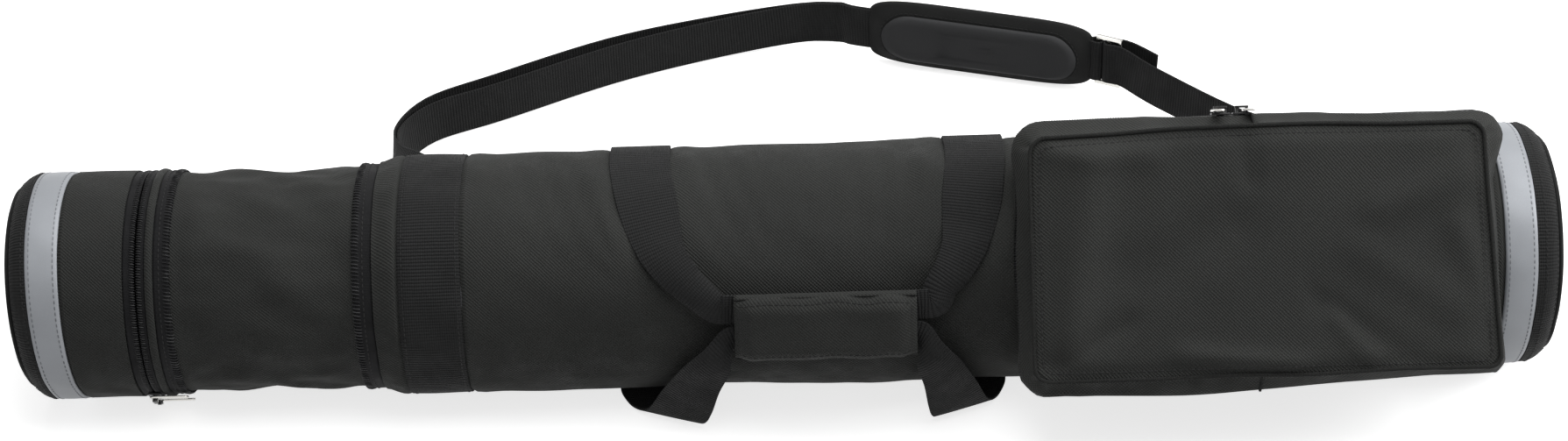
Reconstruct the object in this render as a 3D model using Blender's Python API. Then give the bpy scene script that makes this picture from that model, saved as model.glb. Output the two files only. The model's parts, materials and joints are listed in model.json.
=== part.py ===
"""Telescope carry case: a padded tube bag with a zip-off end lid and a zip-in expansion section.

The tube lies along X with its lid at -X and its pocket and carry handle on the -Y side. It rests on
z = 0. Sizes are in millimetres, and solid() turns them into metres. Angles round the tube are in
degrees from the front (-Y), positive upwards, so 90 is the top and 180 the back.
"""

import math

import bmesh
import bpy
from mathutils import Matrix, Vector

MM = 0.001

# Gaps
FIT = 0.3
ZIP_RUN = 0.5

# Tube
TUBE_R = 87.0
TUBE_SAG = 3.0
END_R = 82.5
SHELL_T = 2.2
FOAM_T = 5.0
LINING_T = 0.8
GROOVE = 1.6
WEB_T = 1.3
BAND_LIFT = 0.2
SEGMENTS = 40

# Places along the tube
LID_END_X = -551.6
TUBE_END_X = 549.0
CORNER_R = 14.0
LID_TAPE_IN = 14.6
LID_TAPE_W = 23.5
TUBE_TAPE_IN = 18.0
TUBE_TAPE_W = 23.0
LID_WALL_L = 46.1
LID_ZIP_IN = 9.4
COLLAR_IN = 6.6
COLLAR_W = 5.6
COLLAR_ZIP_IN = 12.8
TUBE_ZIP_X = -306.0
SHELL_X = -291.0
FLARE_X = -274.6
BAND_X = (-272.5, -228.5)
FOAM_X = -268.0

# Ends
PANEL_T = 1.6
BOARD_T = 3.0
BEAD_R = 1.9
EDGE_TURN = 60.0
BEAD_TURN = 76.0

# Zips
COIL_R = 82.2
COIL_T = 2.4
COIL_W = 3.8
BIG_COIL_W = 5.4
COIL_GAP = 1.2
TAPE_T = 1.0
TAPE_R = 81.5
HINGE_ARC = (142.0, 218.0)
LID_HINGE_R = 84.6
GUSSET_DROP = 5.2
GUSSET_T = 1.0

# Sliders and pulls
SLIDER_L = 13.0
SLIDER_W = 9.0
SLIDER_PLATE = 1.4
SLIDER_POST_L = 5.0
CROWN_LEG = 1.8
CROWN_SPAN = 7.0
CROWN_RISE = 3.3
CROWN_BAR = 1.6
PULL_L = 25.0
PULL_W = 7.0
PULL_T = 1.6
PULL_LIFT = 1.0
PULL_EYE = 1.6
PULL_RIM = 1.7
LID_SLIDER_TURN = (-39.0, -52.0)
EXTENSION_SLIDER_TURN = 170.0

# Pocket
POCKET_TILT = 37.0
POCKET_X = (163.0, 515.0)
POCKET_HIGH = 194.0
POCKET_STAND = 5.0
POCKET_DEPTH = 29.0
POCKET_CORNER = 22.0
PANEL_INSET_X = (10.0, 24.0)
PANEL_INSET_T = 13.0
PANEL_THICK = 3.0
SEAM_INSET_X = 8.0
SEAM_INSET_T = 23.0
SEAM_SINK = 47.0
GUSSET_WALL = 1.6
PIPING_R = 1.8
POCKET_COIL_W = 2.8
POCKET_SLIDER_X = (309.0, 324.0)
POCKET_TAPE_W = 5.0

# Carry handle
STRAP_LEFT_X = -101.5
STRAP_RIGHT_X = 139.0
HANDLE_WEB_W = 43.0
HANDLE_WEB_T = 1.6
ANCHOR_ARC = (100.0, 290.0)
GRIP_X = (-36.0, 92.0)
GRIP_TURN = 12.5
GRIP_STANDOFF = 8.0
GRIP_HIGH = 50.0
GRIP_T = 1.5
GRIP_DEEP = 9.6
GRIP_GRASP = 24.0
HOOK_T = 0.9
HOOK_HIGH = 16.0
LEG_LEAVES_TURN = 33.0
LEG_DRIFT = (0.0, 0.01, 0.05, 0.12, 0.22, 0.36, 0.5)
UPPER_NECK_W = (41.0, 36.0, 30.0, 29.0, 31.0, 32.0)
LOWER_NECK_W = (40.0, 34.0, 28.0, 26.0, 26.0, 30.0, 32.0)
LEG_SLACK_Y = (4.0, 16.0, 46.0)

# Shoulder strap
STRAP_W = 38.0
STRAP_T = 1.6
TAB_X = (-250.0, 455.0)
TAB_W = 38.0
TAB_T = 1.4
TAB_ARC = 12.0
RING_WIRE_R = 2.0
RING_IN_W = 46.0
RING_IN_H = 16.0
RING_DROP = 30.0
STRAP_FLOOR = 1.0
PAD_MID = (170.0, 347.5)
PAD_SLOPE = -16.4
PAD_L = 172.0
PAD_H = 62.0
PAD_FRONT_T = 9.0
PAD_BACK_T = 4.0
PAD_SLOT_T = 5.4
PATCH_L = 152.0
PATCH_H = 33.0
PATCH_T = 1.2
ADJUST_REACH = 9.0
ADJUST_SLOPE = -26.0
ADJUST_BAR_R = 1.5
ADJUST_PITCH = 9.5
TAIL_STEPS = 6
ROUTE_STEPS = 3
LEAD_IN = 16.0
LEFT_ROUTE = ((-282.0, 166.0, 47.0), (-303.0, 206.0, 28.0), (-305.0, 243.0, 20.0), (-282.0, 278.0, 20.0),
              (-228.0, 306.0, 20.0), (-139.0, 352.0, 20.0), (-60.0, 381.0, 20.0), (14.0, 395.0, 24.0),
              (50.0, 389.0, 28.3))
RIGHT_ROUTE = ((310.0, 284.0, 27.3), (372.0, 226.0, 26.0), (414.0, 178.0, 38.0), (440.0, 142.0, 55.0))

# Worked out from the sizes above
AXIS_H = TUBE_R - TUBE_SAG
BAND_SAG = TUBE_SAG + BAND_LIFT
STEP = 360.0 / SEGMENTS
LID_TAPE_X = (LID_END_X + LID_TAPE_IN, LID_END_X + LID_TAPE_IN + LID_TAPE_W)
LID_WALL_X = LID_TAPE_X[1] + LID_WALL_L
LID_ZIP_X = LID_WALL_X + LID_ZIP_IN
COLLAR_X = (LID_ZIP_X + COLLAR_IN, LID_ZIP_X + COLLAR_IN + COLLAR_W)
COLLAR_ZIP_X = COLLAR_X[1] + COLLAR_ZIP_IN
TUBE_TAPE_X = (TUBE_END_X - TUBE_TAPE_IN - TUBE_TAPE_W, TUBE_END_X - TUBE_TAPE_IN)
COIL_IN_R = COIL_R - COIL_T
GUSSET_R = COIL_R - GUSSET_DROP
POCKET_MID_X = sum(POCKET_X) / 2
POCKET_ZIP_N = TUBE_R + POCKET_STAND
POCKET_FRONT_N = POCKET_ZIP_N + POCKET_DEPTH
SEAM_DEPTH_N = TUBE_R - SEAM_SINK
TAB_R = TUBE_R + 2 * FIT
RING_BORE = RING_WIRE_R + 0.4
RING_Y = TAB_R + RING_BORE + TAB_T
RING_REACH = RING_IN_H + 2 * RING_WIRE_R
GRIP_R = TUBE_R + GRIP_STANDOFF
PAD_Z = PAD_H / 2 + FIT

# Colours as (r, g, b), roughness, metallic
NYLON = ((0.030, 0.031, 0.031), 0.85, 0.0)
WEBBING = ((0.022, 0.022, 0.024), 0.75, 0.0)
REFLECTIVE = ((0.42, 0.44, 0.47), 0.35, 0.3)
COIL = ((0.012, 0.012, 0.013), 0.45, 0.0)
NICKEL = ((0.55, 0.55, 0.53), 0.3, 1.0)
BLACK_METAL = ((0.02, 0.02, 0.02), 0.4, 0.6)
FOAM = ((0.10, 0.10, 0.11), 0.95, 0.0)
LINING = ((0.05, 0.05, 0.055), 0.8, 0.0)
BOARD = ((0.20, 0.16, 0.11), 0.8, 0.0)
RUBBER = ((0.05, 0.052, 0.055), 0.9, 0.0)


def clear_scene():
    for item in list(bpy.data.objects):
        bpy.data.objects.remove(item, do_unlink=True)


def cos(degrees):
    return math.cos(math.radians(degrees))


def sin(degrees):
    return math.sin(math.radians(degrees))


def steps(start, end, count):
    return [start + (end - start) * k / count for k in range(count + 1)]


def paint(item, look):
    colour, roughness, metallic = look
    skin = bpy.data.materials.new(item.name + "_material")
    skin.use_nodes = True
    shader = skin.node_tree.nodes["Principled BSDF"]
    shader.inputs["Base Color"].default_value = (*colour, 1.0)
    shader.inputs["Roughness"].default_value = roughness
    shader.inputs["Metallic"].default_value = metallic
    item.data.materials.clear()
    item.data.materials.append(skin)


def solid(name, rings, look, closed=False):
    """Join rings of points into one closed body, round a loop or capped at both ends."""
    bm = bmesh.new()
    rows = [[bm.verts.new(Vector(p) * MM) for p in ring] for ring in rings]
    for k in range(len(rows) if closed else len(rows) - 1):
        a, b = rows[k], rows[(k + 1) % len(rows)]
        for i in range(len(a)):
            j = (i + 1) % len(a)
            bm.faces.new((a[i], a[j], b[j], b[i]))
    if not closed:
        bm.faces.new(rows[0])
        bm.faces.new(rows[-1])
    bmesh.ops.recalc_face_normals(bm, faces=bm.faces)
    mesh = bpy.data.meshes.new(name)
    bm.to_mesh(mesh)
    bm.free()
    item = bpy.data.objects.new(name, mesh)
    bpy.context.collection.objects.link(item)
    paint(item, look)
    return item


def combine(item, other, operation):
    """Bake a Boolean of two bodies into the first and drop the second."""
    cut = item.modifiers.new("combine", "BOOLEAN")
    cut.operation = operation
    cut.solver = "EXACT"
    cut.object = other
    other.display_type = "WIRE"
    other.hide_render = True
    bpy.context.view_layer.update()
    seen = item.evaluated_get(bpy.context.evaluated_depsgraph_get())
    mesh = bpy.data.meshes.new_from_object(seen)
    item.modifiers.clear()
    look = item.data.materials[0]
    item.data = mesh
    mesh.materials.clear()
    mesh.materials.append(look)
    bpy.data.objects.remove(other, do_unlink=True)
    return item


# Round the tube

def tube_point(x, r, turn, sag=0.0):
    """A point round the tube, held above the flat that the tube rests on."""
    low = -(min(r, TUBE_R) - sag)
    return Vector((x, -r * cos(turn), AXIS_H + max(r * sin(turn), low)))


def hoop(name, section, look, arc=None, sag=0.0):
    """Sweep a section of (x, r) points round the tube, or round an arc of it."""
    if arc:
        first, last = math.floor(arc[0] / STEP) + 1, math.ceil(arc[1] / STEP)
        turns = [arc[0]] + [k * STEP for k in range(first, last)] + [arc[1]]
    else:
        turns = [k * STEP for k in range(SEGMENTS)]
    rings = []
    for turn in turns:
        points = section(turn) if callable(section) else section
        rings.append([tube_point(x, r, turn, sag(x) if callable(sag) else sag) for x, r in points])
    return solid(name, rings, look, closed=arc is None)


def band(name, x0, x1, r0, r1, look, arc=None, sag=0.0):
    return hoop(name, [(x0, r0), (x0, r1), (x1, r1), (x1, r0)], look, arc, sag)


def disc(name, profile, look, sag=0.0):
    """Turn an open (x, r) profile, with a flat cap at each end."""
    rings = [[tube_point(x, r, k * STEP, sag) for k in range(SEGMENTS)] for x, r in profile]
    return solid(name, rings, look)


def mouth_sag(x):
    """The sag fades out from the webbing band to the round zip."""
    share = (x - SHELL_X) / (FLARE_X - SHELL_X)
    return TUBE_SAG * min(1.0, max(0.0, share))


def groove(x0, x1, radius, depth):
    """A shallow seat in a wall for a band that is sewn on, as outline points."""
    lead = 2 * FIT
    return [(x0 - FIT - lead, radius), (x0 - FIT, radius - depth),
            (x1 + FIT, radius - depth), (x1 + FIT + lead, radius)]


def shell_section(turn):
    """The main tube's wall at one angle. The handle seats only run where the webbing is sewn."""
    sewn = ANCHOR_ARC[0] - STEP < turn % 360.0 < ANCHOR_ARC[1] + STEP
    seat = GROOVE if sewn else 0.0
    outer = [(SHELL_X, END_R), ((SHELL_X + FLARE_X) / 2, (END_R + 2 * TUBE_R) / 3)]
    outer += groove(*BAND_X, TUBE_R, GROOVE)
    for middle in (STRAP_LEFT_X, STRAP_RIGHT_X):
        outer += groove(middle - HANDLE_WEB_W / 2, middle + HANDLE_WEB_W / 2, TUBE_R, seat)
    end = TUBE_END_X - CORNER_R - FIT
    outer += groove(TUBE_TAPE_X[0], end, TUBE_R, GROOVE)[:2] + [(end, TUBE_R - GROOVE)]
    inner = [(end, TUBE_R - SHELL_T), (FLARE_X, TUBE_R - SHELL_T), (SHELL_X, END_R - SHELL_T)]
    return outer + inner


def corner(end_x, radius, way, depth, turn):
    """A point on the rounded end, depth below its face. way is +1 at the right end."""
    reach = CORNER_R - depth
    return (end_x - way * CORNER_R + way * reach * sin(turn), radius - CORNER_R + reach * cos(turn))


def end_pieces(prefix, suffix, end_x, radius, way, tape_edge_x, sag):
    """End panel, its stiff board, the ribbed webbing over the edge and the bound rim."""
    under = WEB_T + FIT
    turns = steps(0.0, 90.0, 4)
    face = [corner(end_x, radius, way, under, t) for t in turns]
    back = [corner(end_x, radius, way, under + PANEL_T, t) for t in reversed(turns)]
    hub = radius / 4
    profile = [(face[-1][0], hub)] + face[::-1] + back[::-1] + [(back[0][0], hub)]
    disc(prefix + "end_panel" + suffix, profile, NYLON, sag)
    board_x = back[0][0] - way * FIT
    board_r = radius - CORNER_R - FIT
    faces = [(board_x, board_r), (board_x - way * BOARD_T, board_r)]
    disc(prefix + "end_board" + suffix, faces, BOARD, sag)
    turns = steps(0.0, EDGE_TURN, 3)
    start_x = tape_edge_x + way * FIT
    top = [(start_x, radius)] + [corner(end_x, radius, way, 0.0, t) for t in turns]
    low = [corner(end_x, radius, way, WEB_T, t) for t in reversed(turns)] + [(start_x, radius - WEB_T)]
    hoop(prefix + "edge_webbing" + suffix, top + low, WEBBING, sag=sag)
    mid = corner(end_x, radius, way, WEB_T - BEAD_R, BEAD_TURN)
    bead = [(mid[0] + BEAD_R * cos(t), mid[1] + BEAD_R * sin(t)) for t in steps(0.0, 300.0, 5)]
    hoop(prefix + "rim_binding" + suffix, bead, NYLON, sag=sag)


def main_tube():
    hoop("tube_shell", shell_section, NYLON, sag=mouth_sag)
    foam_end = TUBE_END_X - CORNER_R - FIT
    foam_r = TUBE_R - SHELL_T - FIT
    band("tube_foam_liner", FOAM_X, foam_end, foam_r - FOAM_T, foam_r, FOAM, sag=TUBE_SAG)
    lining_r = foam_r - FOAM_T - FIT
    band("tube_lining", FOAM_X, foam_end, lining_r - LINING_T, lining_r, LINING, sag=TUBE_SAG)
    end_pieces("", "_right", TUBE_END_X, TUBE_R, 1, TUBE_TAPE_X[1], BAND_SAG)
    seat_r = TUBE_R - GROOVE + FIT
    band("reflective_band_right", *TUBE_TAPE_X, seat_r, seat_r + WEB_T, REFLECTIVE, sag=BAND_SAG)
    band("webbing_band", *BAND_X, seat_r, seat_r + WEB_T, WEBBING, sag=BAND_SAG)
    for side, middle in (("left", STRAP_LEFT_X), ("right", STRAP_RIGHT_X)):
        band("handle_anchor_" + side, middle - HANDLE_WEB_W / 2, middle + HANDLE_WEB_W / 2,
             seat_r, seat_r + WEB_T, WEBBING, ANCHOR_ARC, BAND_SAG)


# Zips round the tube

def zip_half(name, x, way, width, tape_x, arc=None):
    """One half of a zip: the coil, standing off the zip's middle plane, and the tape it is sewn to."""
    near = x + way * COIL_GAP / 2
    far = near + way * width
    low = TAPE_R - TAPE_T
    section = [(near, COIL_IN_R), (near, COIL_R), (far, COIL_R), (far, TAPE_R),
               (tape_x, TAPE_R), (tape_x, low), (far, low), (far, COIL_IN_R)]
    hoop(name, section, COIL, arc)


def zip_arc():
    return (HINGE_ARC[1] - 360.0 + 2.0, HINGE_ARC[0] - 2.0)


def extension():
    """The half zips that face each other across the gusset, and the gusset folded out between them."""
    tube_coil = TUBE_ZIP_X + COIL_GAP / 2 + BIG_COIL_W
    collar_coil = COLLAR_ZIP_X - COIL_GAP / 2 - BIG_COIL_W
    zip_half("extension_zip_half_right", TUBE_ZIP_X, 1, BIG_COIL_W, SHELL_X - FIT)
    zip_half("extension_zip_half_left", COLLAR_ZIP_X, -1, BIG_COIL_W, COLLAR_X[1] + FIT)
    sewn_r = TAPE_R - TAPE_T - FIT
    run = [(COLLAR_X[1] + FIT, sewn_r), (collar_coil - 3.0, sewn_r), (collar_coil, GUSSET_R),
           (tube_coil + 0.5, GUSSET_R), (tube_coil + 3.5, sewn_r), (SHELL_X - FIT, sewn_r)]
    hoop("extension_gusset", run + [(x, r - GUSSET_T) for x, r in reversed(run)], NYLON)


def collar():
    band("collar_shell", *COLLAR_X, END_R - SHELL_T, END_R, NYLON)
    zip_half("lid_zip_half_collar", LID_ZIP_X, 1, COIL_W, COLLAR_X[0] - FIT, zip_arc())
    band("lid_hinge_fabric", LID_WALL_X + FIT, COLLAR_X[0] - FIT, TAPE_R - TAPE_T, TAPE_R, NYLON, HINGE_ARC)


def lid():
    wall_x = LID_WALL_X
    end = LID_END_X + CORNER_R + FIT
    seat = END_R - GROOVE
    outer = [(wall_x, END_R)] + [(x, r) for x, r in reversed(groove(*LID_TAPE_X, END_R, GROOVE)[2:])]
    outer += [(end, seat)]
    hoop("lid_shell", outer + [(end, END_R - SHELL_T), (wall_x, END_R - SHELL_T)], NYLON)
    zip_half("lid_zip_half_lid", LID_ZIP_X, -1, COIL_W, wall_x + FIT, zip_arc())
    foam_r = END_R - SHELL_T - FIT
    band("lid_foam_liner", end, wall_x, foam_r - FOAM_T, foam_r, FOAM)
    end_pieces("lid_", "", LID_END_X, END_R, -1, LID_TAPE_X[0], 0.0)
    band("lid_reflective_band", *LID_TAPE_X, seat + FIT, seat + FIT + WEB_T, REFLECTIVE)


# Sliders and pulls

def block(name, place, along, out, across, look):
    """A box between limits along three directions of a slider's own frame."""
    rings = []
    for u in along:
        rings.append([place(u, v, w) for v, w in ((out[0], across[0]), (out[1], across[0]),
                                                  (out[1], across[1]), (out[0], across[1]))])
    return solid(name, rings, look)


def slider(name, place, inner, outer):
    """A zip slider: two plates joined through the coil gap, with a crown for the pull.

    place(along, out, across) maps the slider's own frame. inner and outer are the coil's two faces.
    """
    half = SLIDER_L / 2
    wide = (-SLIDER_W / 2, SLIDER_W / 2)
    top = outer + ZIP_RUN
    low = inner - 3 * FIT
    thin = (-COIL_GAP / 2 + FIT, COIL_GAP / 2 - FIT)
    leg = CROWN_LEG / 2
    bar = top + SLIDER_PLATE + CROWN_RISE
    item = block(name, place, (-half, half), (top, top + SLIDER_PLATE), wide, BLACK_METAL)
    extras = [((-SLIDER_POST_L / 2, SLIDER_POST_L / 2), (low - 0.2, top + 0.2), thin),
              ((-half, half), (low - SLIDER_PLATE, low), wide)]
    for u in (-CROWN_SPAN / 2, CROWN_SPAN / 2):
        extras.append(((u - leg, u + leg), (top + SLIDER_PLATE - 0.2, bar + 0.2), (-leg, leg)))
    reach = CROWN_SPAN / 2 + leg + 0.4
    extras.append(((-reach, reach), (bar, bar + CROWN_BAR), (-leg - 0.3, leg + 0.3)))
    for k, (along, out, across) in enumerate(extras):
        combine(item, block(name + "_%d" % k, place, along, out, across, BLACK_METAL), "UNION")
    return item


def pull(name, place, outer, leg_side, way):
    """A flat pull whose eye sits round one leg of the crown and that lies across the zip."""
    low = outer + ZIP_RUN + SLIDER_PLATE + PULL_LIFT
    leg = leg_side * CROWN_SPAN / 2
    rim = PULL_EYE + PULL_RIM
    rings = []
    for turn in steps(-150.0, 180.0, 11):
        eye = (PULL_EYE * sin(turn), PULL_EYE * cos(turn))
        edge = (rim * sin(turn), rim * cos(turn))
        if abs(turn) <= 30.0:
            edge = (PULL_W / 2 * (turn / 30.0), PULL_L - rim * abs(turn) / 60.0)
        elif abs(turn) == 60.0:
            edge = (math.copysign(PULL_W / 2, turn), rim)
        rings.append([place(leg + p[0], h, way * p[1]) for p, h in
                      ((edge, low), (edge, low + PULL_T), (eye, low + PULL_T), (eye, low))])
    item = solid(name, rings, NICKEL, closed=True)
    seat = place(leg, low, 0.0) * MM
    item.data.transform(item.matrix_world.Translation(-seat))
    item.location = seat
    return item


def round_frame(x, turn):
    """The frame of a slider on a zip round the tube."""
    out = Vector((0.0, -cos(turn), sin(turn)))
    along = Vector((0.0, sin(turn), cos(turn)))
    middle = Vector((x, 0.0, AXIS_H))
    return lambda u, v, w: middle + along * u + out * v + Vector((w, 0.0, 0.0))


def tube_sliders():
    for side, turn, leg in (("upper", LID_SLIDER_TURN[0], 1), ("lower", LID_SLIDER_TURN[1], -1)):
        place = round_frame(LID_ZIP_X, turn)
        slider("lid_slider_" + side, place, COIL_IN_R, COIL_R)
        pull("lid_pull_" + side, place, COIL_R, leg, 1)
    turn = EXTENSION_SLIDER_TURN
    place = round_frame(TUBE_ZIP_X, turn)
    slider("extension_slider", place, COIL_IN_R, COIL_R)
    out = Vector((0.0, -cos(turn), sin(turn)))
    along = Vector((0.0, sin(turn), cos(turn)))
    middle = Vector((TUBE_ZIP_X, 0.0, AXIS_H))
    hanging = CROWN_SPAN / 2

    def turned(u, v, w):
        """The same slider with its pull turned to hang along the zip."""
        return middle + along * (hanging + w) + out * v + Vector((hanging - u, 0.0, 0.0))

    pull("extension_pull", turned, COIL_R, 1, 1)


# Pocket

def pocket_point(x, t, n):
    """A point in the pocket's frame: x along the tube, t up its face, n out of it."""
    return Vector((x, -n * cos(POCKET_TILT) + t * sin(POCKET_TILT),
                   AXIS_H + n * sin(POCKET_TILT) + t * cos(POCKET_TILT)))


def outline(inset_left, inset_right, inset_t, extra=0.0):
    """A rounded rectangle of (x, t) points, anticlockwise from its lower right corner."""
    left, right = POCKET_X[0] + inset_left + extra, POCKET_X[1] - inset_right - extra
    high = POCKET_HIGH / 2 - inset_t - extra
    radius = POCKET_CORNER - extra
    points = []
    corners = ((right, -high, -90.0), (right, high, 0.0), (left, high, 90.0), (left, -high, 180.0))
    for x, t, start in corners:
        mid_x = x - math.copysign(radius, x - POCKET_MID_X)
        mid_t = t - math.copysign(radius, t)
        arc = steps(start, start + 90.0, 4)
        points += [(mid_x + radius * cos(a), mid_t + radius * sin(a)) for a in arc]
    return points


def pocket_wall(name, look, levels, wall, part=None):
    """A wall that follows the pocket's outline through (insets, n) levels, or a part of it."""
    face = [[(p, n) for p in outline(*insets)] for insets, n in levels]
    back = [[(p, n) for p in outline(*insets, wall)] for insets, n in reversed(levels)]
    picked = part if part else range(len(face[0]))
    rings = [[pocket_point(*row[i][0], row[i][1]) for row in face + back] for i in picked]
    return solid(name, rings, look, closed=part is None)


def pocket():
    zip_n = POCKET_ZIP_N
    wide = (0.0, 0.0, 0.0)
    seam = (SEAM_INSET_X, SEAM_INSET_X, SEAM_INSET_T)
    front = (PANEL_INSET_X[0], PANEL_INSET_X[1], PANEL_INSET_T)
    coil_n = COIL_GAP / 2 + POCKET_COIL_W + FIT
    corner_points = len(outline(*wide)) // 4
    zipped = list(range(corner_points - 2, 3 * corner_points + 2))
    levels = [(seam, SEAM_DEPTH_N), (wide, zip_n - POCKET_TAPE_W - coil_n), (wide, zip_n - coil_n)]
    base = pocket_wall("pocket_base_gusset", NYLON, levels, GUSSET_WALL)
    ends = [(POCKET_X[0] - 5.0, TUBE_R + FIT), (POCKET_X[1] + 5.0, TUBE_R + FIT)]
    combine(base, disc("tube_cutter", ends, NYLON), "DIFFERENCE")
    base_zip = [(wide, zip_n - coil_n + FIT), (wide, zip_n - COIL_GAP / 2)]
    pocket_wall("pocket_zip_half_base", COIL, base_zip, COIL_T, zipped)
    lid_zip = [(wide, zip_n + COIL_GAP / 2), (wide, zip_n + coil_n - FIT)]
    pocket_wall("pocket_zip_half_lid", COIL, lid_zip, COIL_T, zipped)
    sunk = FIT + GUSSET_WALL
    pocket_wall("pocket_lid_gusset", NYLON, [(wide, zip_n + coil_n), (wide, zip_n + coil_n + POCKET_TAPE_W),
                                             (front, POCKET_FRONT_N)], GUSSET_WALL)
    rings = []
    for extra, n in ((0.0, POCKET_FRONT_N + FIT), (0.0, POCKET_FRONT_N + FIT + PANEL_THICK / 2),
                     (10.0, POCKET_FRONT_N + FIT + PANEL_THICK)):
        rings.append([pocket_point(x, t, n) for x, t in outline(*front, extra)])
    solid("pocket_front_panel", rings, NYLON)
    rings = []
    rim = outline(*front, -FIT - PIPING_R)
    inner = outline(*front, 0.0)
    for (x, t), (ix, it) in zip(rim, inner):
        away = Vector((x - ix, t - it)).normalized()
        rings.append([pocket_point(x + away.x * PIPING_R * cos(a), t + away.y * PIPING_R * cos(a),
                                   POCKET_FRONT_N + FIT + PIPING_R * (1.0 + sin(a)))
                      for a in steps(0.0, 300.0, 5)])
    solid("pocket_front_piping", rings, NYLON, closed=True)
    lower = [corner_points * 4 - 2, 2]
    pocket_wall("pocket_hinge_fabric", NYLON, [(wide, zip_n - coil_n + FIT), (wide, zip_n + coil_n - FIT)],
                sunk, lower)
    for side, x, way in (("left", POCKET_SLIDER_X[0], -1), ("right", POCKET_SLIDER_X[1], 1)):

        def place(u, v, w, middle=x):
            return pocket_point(middle + u, POCKET_HIGH / 2 + v, POCKET_ZIP_N + w)

        slider("pocket_slider_" + side, place, -COIL_T, 0.0)
        pull("pocket_pull_" + side, place, 0.0, way, 1)


# Webbing

def smooth(points, count):
    """Points on a curve through the given ones, count to each stretch."""
    found = []
    for k in range(len(points) - 1):
        p0 = points[max(k - 1, 0)]
        p1, p2 = points[k], points[k + 1]
        p3 = points[min(k + 2, len(points) - 1)]
        for s in range(count):
            f = s / count
            found.append(0.5 * (2 * p1 + (p2 - p0) * f + (2 * p0 - 5 * p1 + 4 * p2 - p3) * f * f
                                + (3 * p1 - p0 - 3 * p2 + p3) * f ** 3))
    return found + [points[-1]]


def frames(points, widths):
    """Each point with its direction across the webbing and its direction out of the webbing."""
    found = []
    last = len(points) - 1
    for k, (point, wide) in enumerate(zip(points, widths)):
        tangent = (points[min(k + 1, last)] - points[max(k - 1, 0)]).normalized()
        out = wide.cross(tangent).normalized()
        found.append((point, tangent.cross(out).normalized(), out))
    return found


def grip_point(x, s, q):
    """A point in the grip's frame: x along the tube, s up its face, q out from the tube's axis."""
    return Vector((x, -q * cos(GRIP_TURN) + s * sin(GRIP_TURN),
                   AXIS_H + q * sin(GRIP_TURN) + s * cos(GRIP_TURN)))


def on_tube(x, turn, lift):
    return tube_point(x, TUBE_R + lift, turn)


def leg(name, route, normals, widths):
    """A webbing leg that keeps its outer face to the given directions and gathers towards the grip."""
    points, outs, wide = smooth(route, 4), smooth(normals, 4), smooth(widths, 4)
    rings = []
    last = len(points) - 1
    for k, point in enumerate(points):
        tangent = (points[min(k + 1, last)] - points[max(k - 1, 0)]).normalized()
        out = (outs[k] - tangent * outs[k].dot(tangent)).normalized()
        a, b = out.cross(tangent) * wide[k] / 2, out * HANDLE_WEB_T / 2
        rings.append([point - a - b, point + a - b, point + a + b, point - a + b])
    solid(name, rings, WEBBING)


def handle_legs():
    """Four webbing legs from the sewn anchors to the grip. The lower ones lie slack on the floor."""
    half = HANDLE_WEB_T / 2
    lift = 2 * FIT + half
    up_q = GRIP_R + GRIP_T + 3 * FIT + half
    low_q = up_q + HANDLE_WEB_T + 3 * FIT
    floor_y = -TUBE_R * cos(ANCHOR_ARC[1])
    grip_out = Vector((0.0, -cos(GRIP_TURN), sin(GRIP_TURN)))
    ahead, down = Vector((0.0, -1.0, 0.0)), Vector((0.0, 0.0, -1.0))
    low = STRAP_FLOOR + HANDLE_WEB_T
    sides = (("left", STRAP_LEFT_X, GRIP_X[0], 1), ("right", STRAP_RIGHT_X, GRIP_X[1], -1))
    for side, anchor, grip, way in sides:
        inside = grip + way * (GRIP_GRASP - 1.0)
        run = grip - anchor
        route, normals = [], []
        for share, turn in zip(LEG_DRIFT, steps(ANCHOR_ARC[0] - 1.0, LEG_LEAVES_TURN, len(LEG_DRIFT) - 1)):
            route.append(on_tube(anchor + run * share, turn, lift + GRIP_STANDOFF * share ** 1.5 * 3.4))
            normals.append(Vector((0.0, -cos(turn), sin(turn))))
        route += [grip_point(grip - way * 14.0, 8.0, up_q + 0.2), grip_point(grip - way * 4.0, 1.0, up_q),
                  grip_point(grip + way * 8.0, 0.0, up_q), grip_point(inside, 0.0, up_q)]
        normals += [grip_out] * 4
        leg("handle_leg_upper_" + side, route, normals, [HANDLE_WEB_W] * 5 + list(UPPER_NECK_W))
        slack_y = [floor_y - y for y in LEG_SLACK_Y]
        route = [Vector((anchor, slack_y[0], low + 1.2)), Vector((anchor + run * 0.01, slack_y[1], low)),
                 Vector((anchor + run * 0.2, slack_y[2], low + 3.0)),
                 Vector((anchor + run * 0.42, -GRIP_R - 6.0, AXIS_H * 0.34)),
                 Vector((anchor + run * 0.52, -GRIP_R - 12.0, AXIS_H * 0.72)),
                 grip_point(anchor + run * 0.66, -12.0, low_q + 3.5),
                 grip_point(grip - way * 3.0, -2.0, low_q + 0.8),
                 grip_point(grip + way * 8.0, 0.0, low_q), grip_point(inside, 0.0, low_q)]
        normals = [down, down, Vector((0.25 * way, -0.45, -0.85)), Vector((0.42 * way, -0.84, -0.34))]
        normals += [ahead] + [grip_out] * 4
        leg("handle_leg_lower_" + side, route, normals, [HANDLE_WEB_W] * 2 + list(LOWER_NECK_W))


def grip_box(name, x, s, q, look):
    section = ((s[0], q[0]), (s[1], q[0]), (s[1], q[1]), (s[0], q[1]))
    rings = [[grip_point(px, *p) for p in section] for px in x]
    return solid(name, rings, look)


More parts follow.
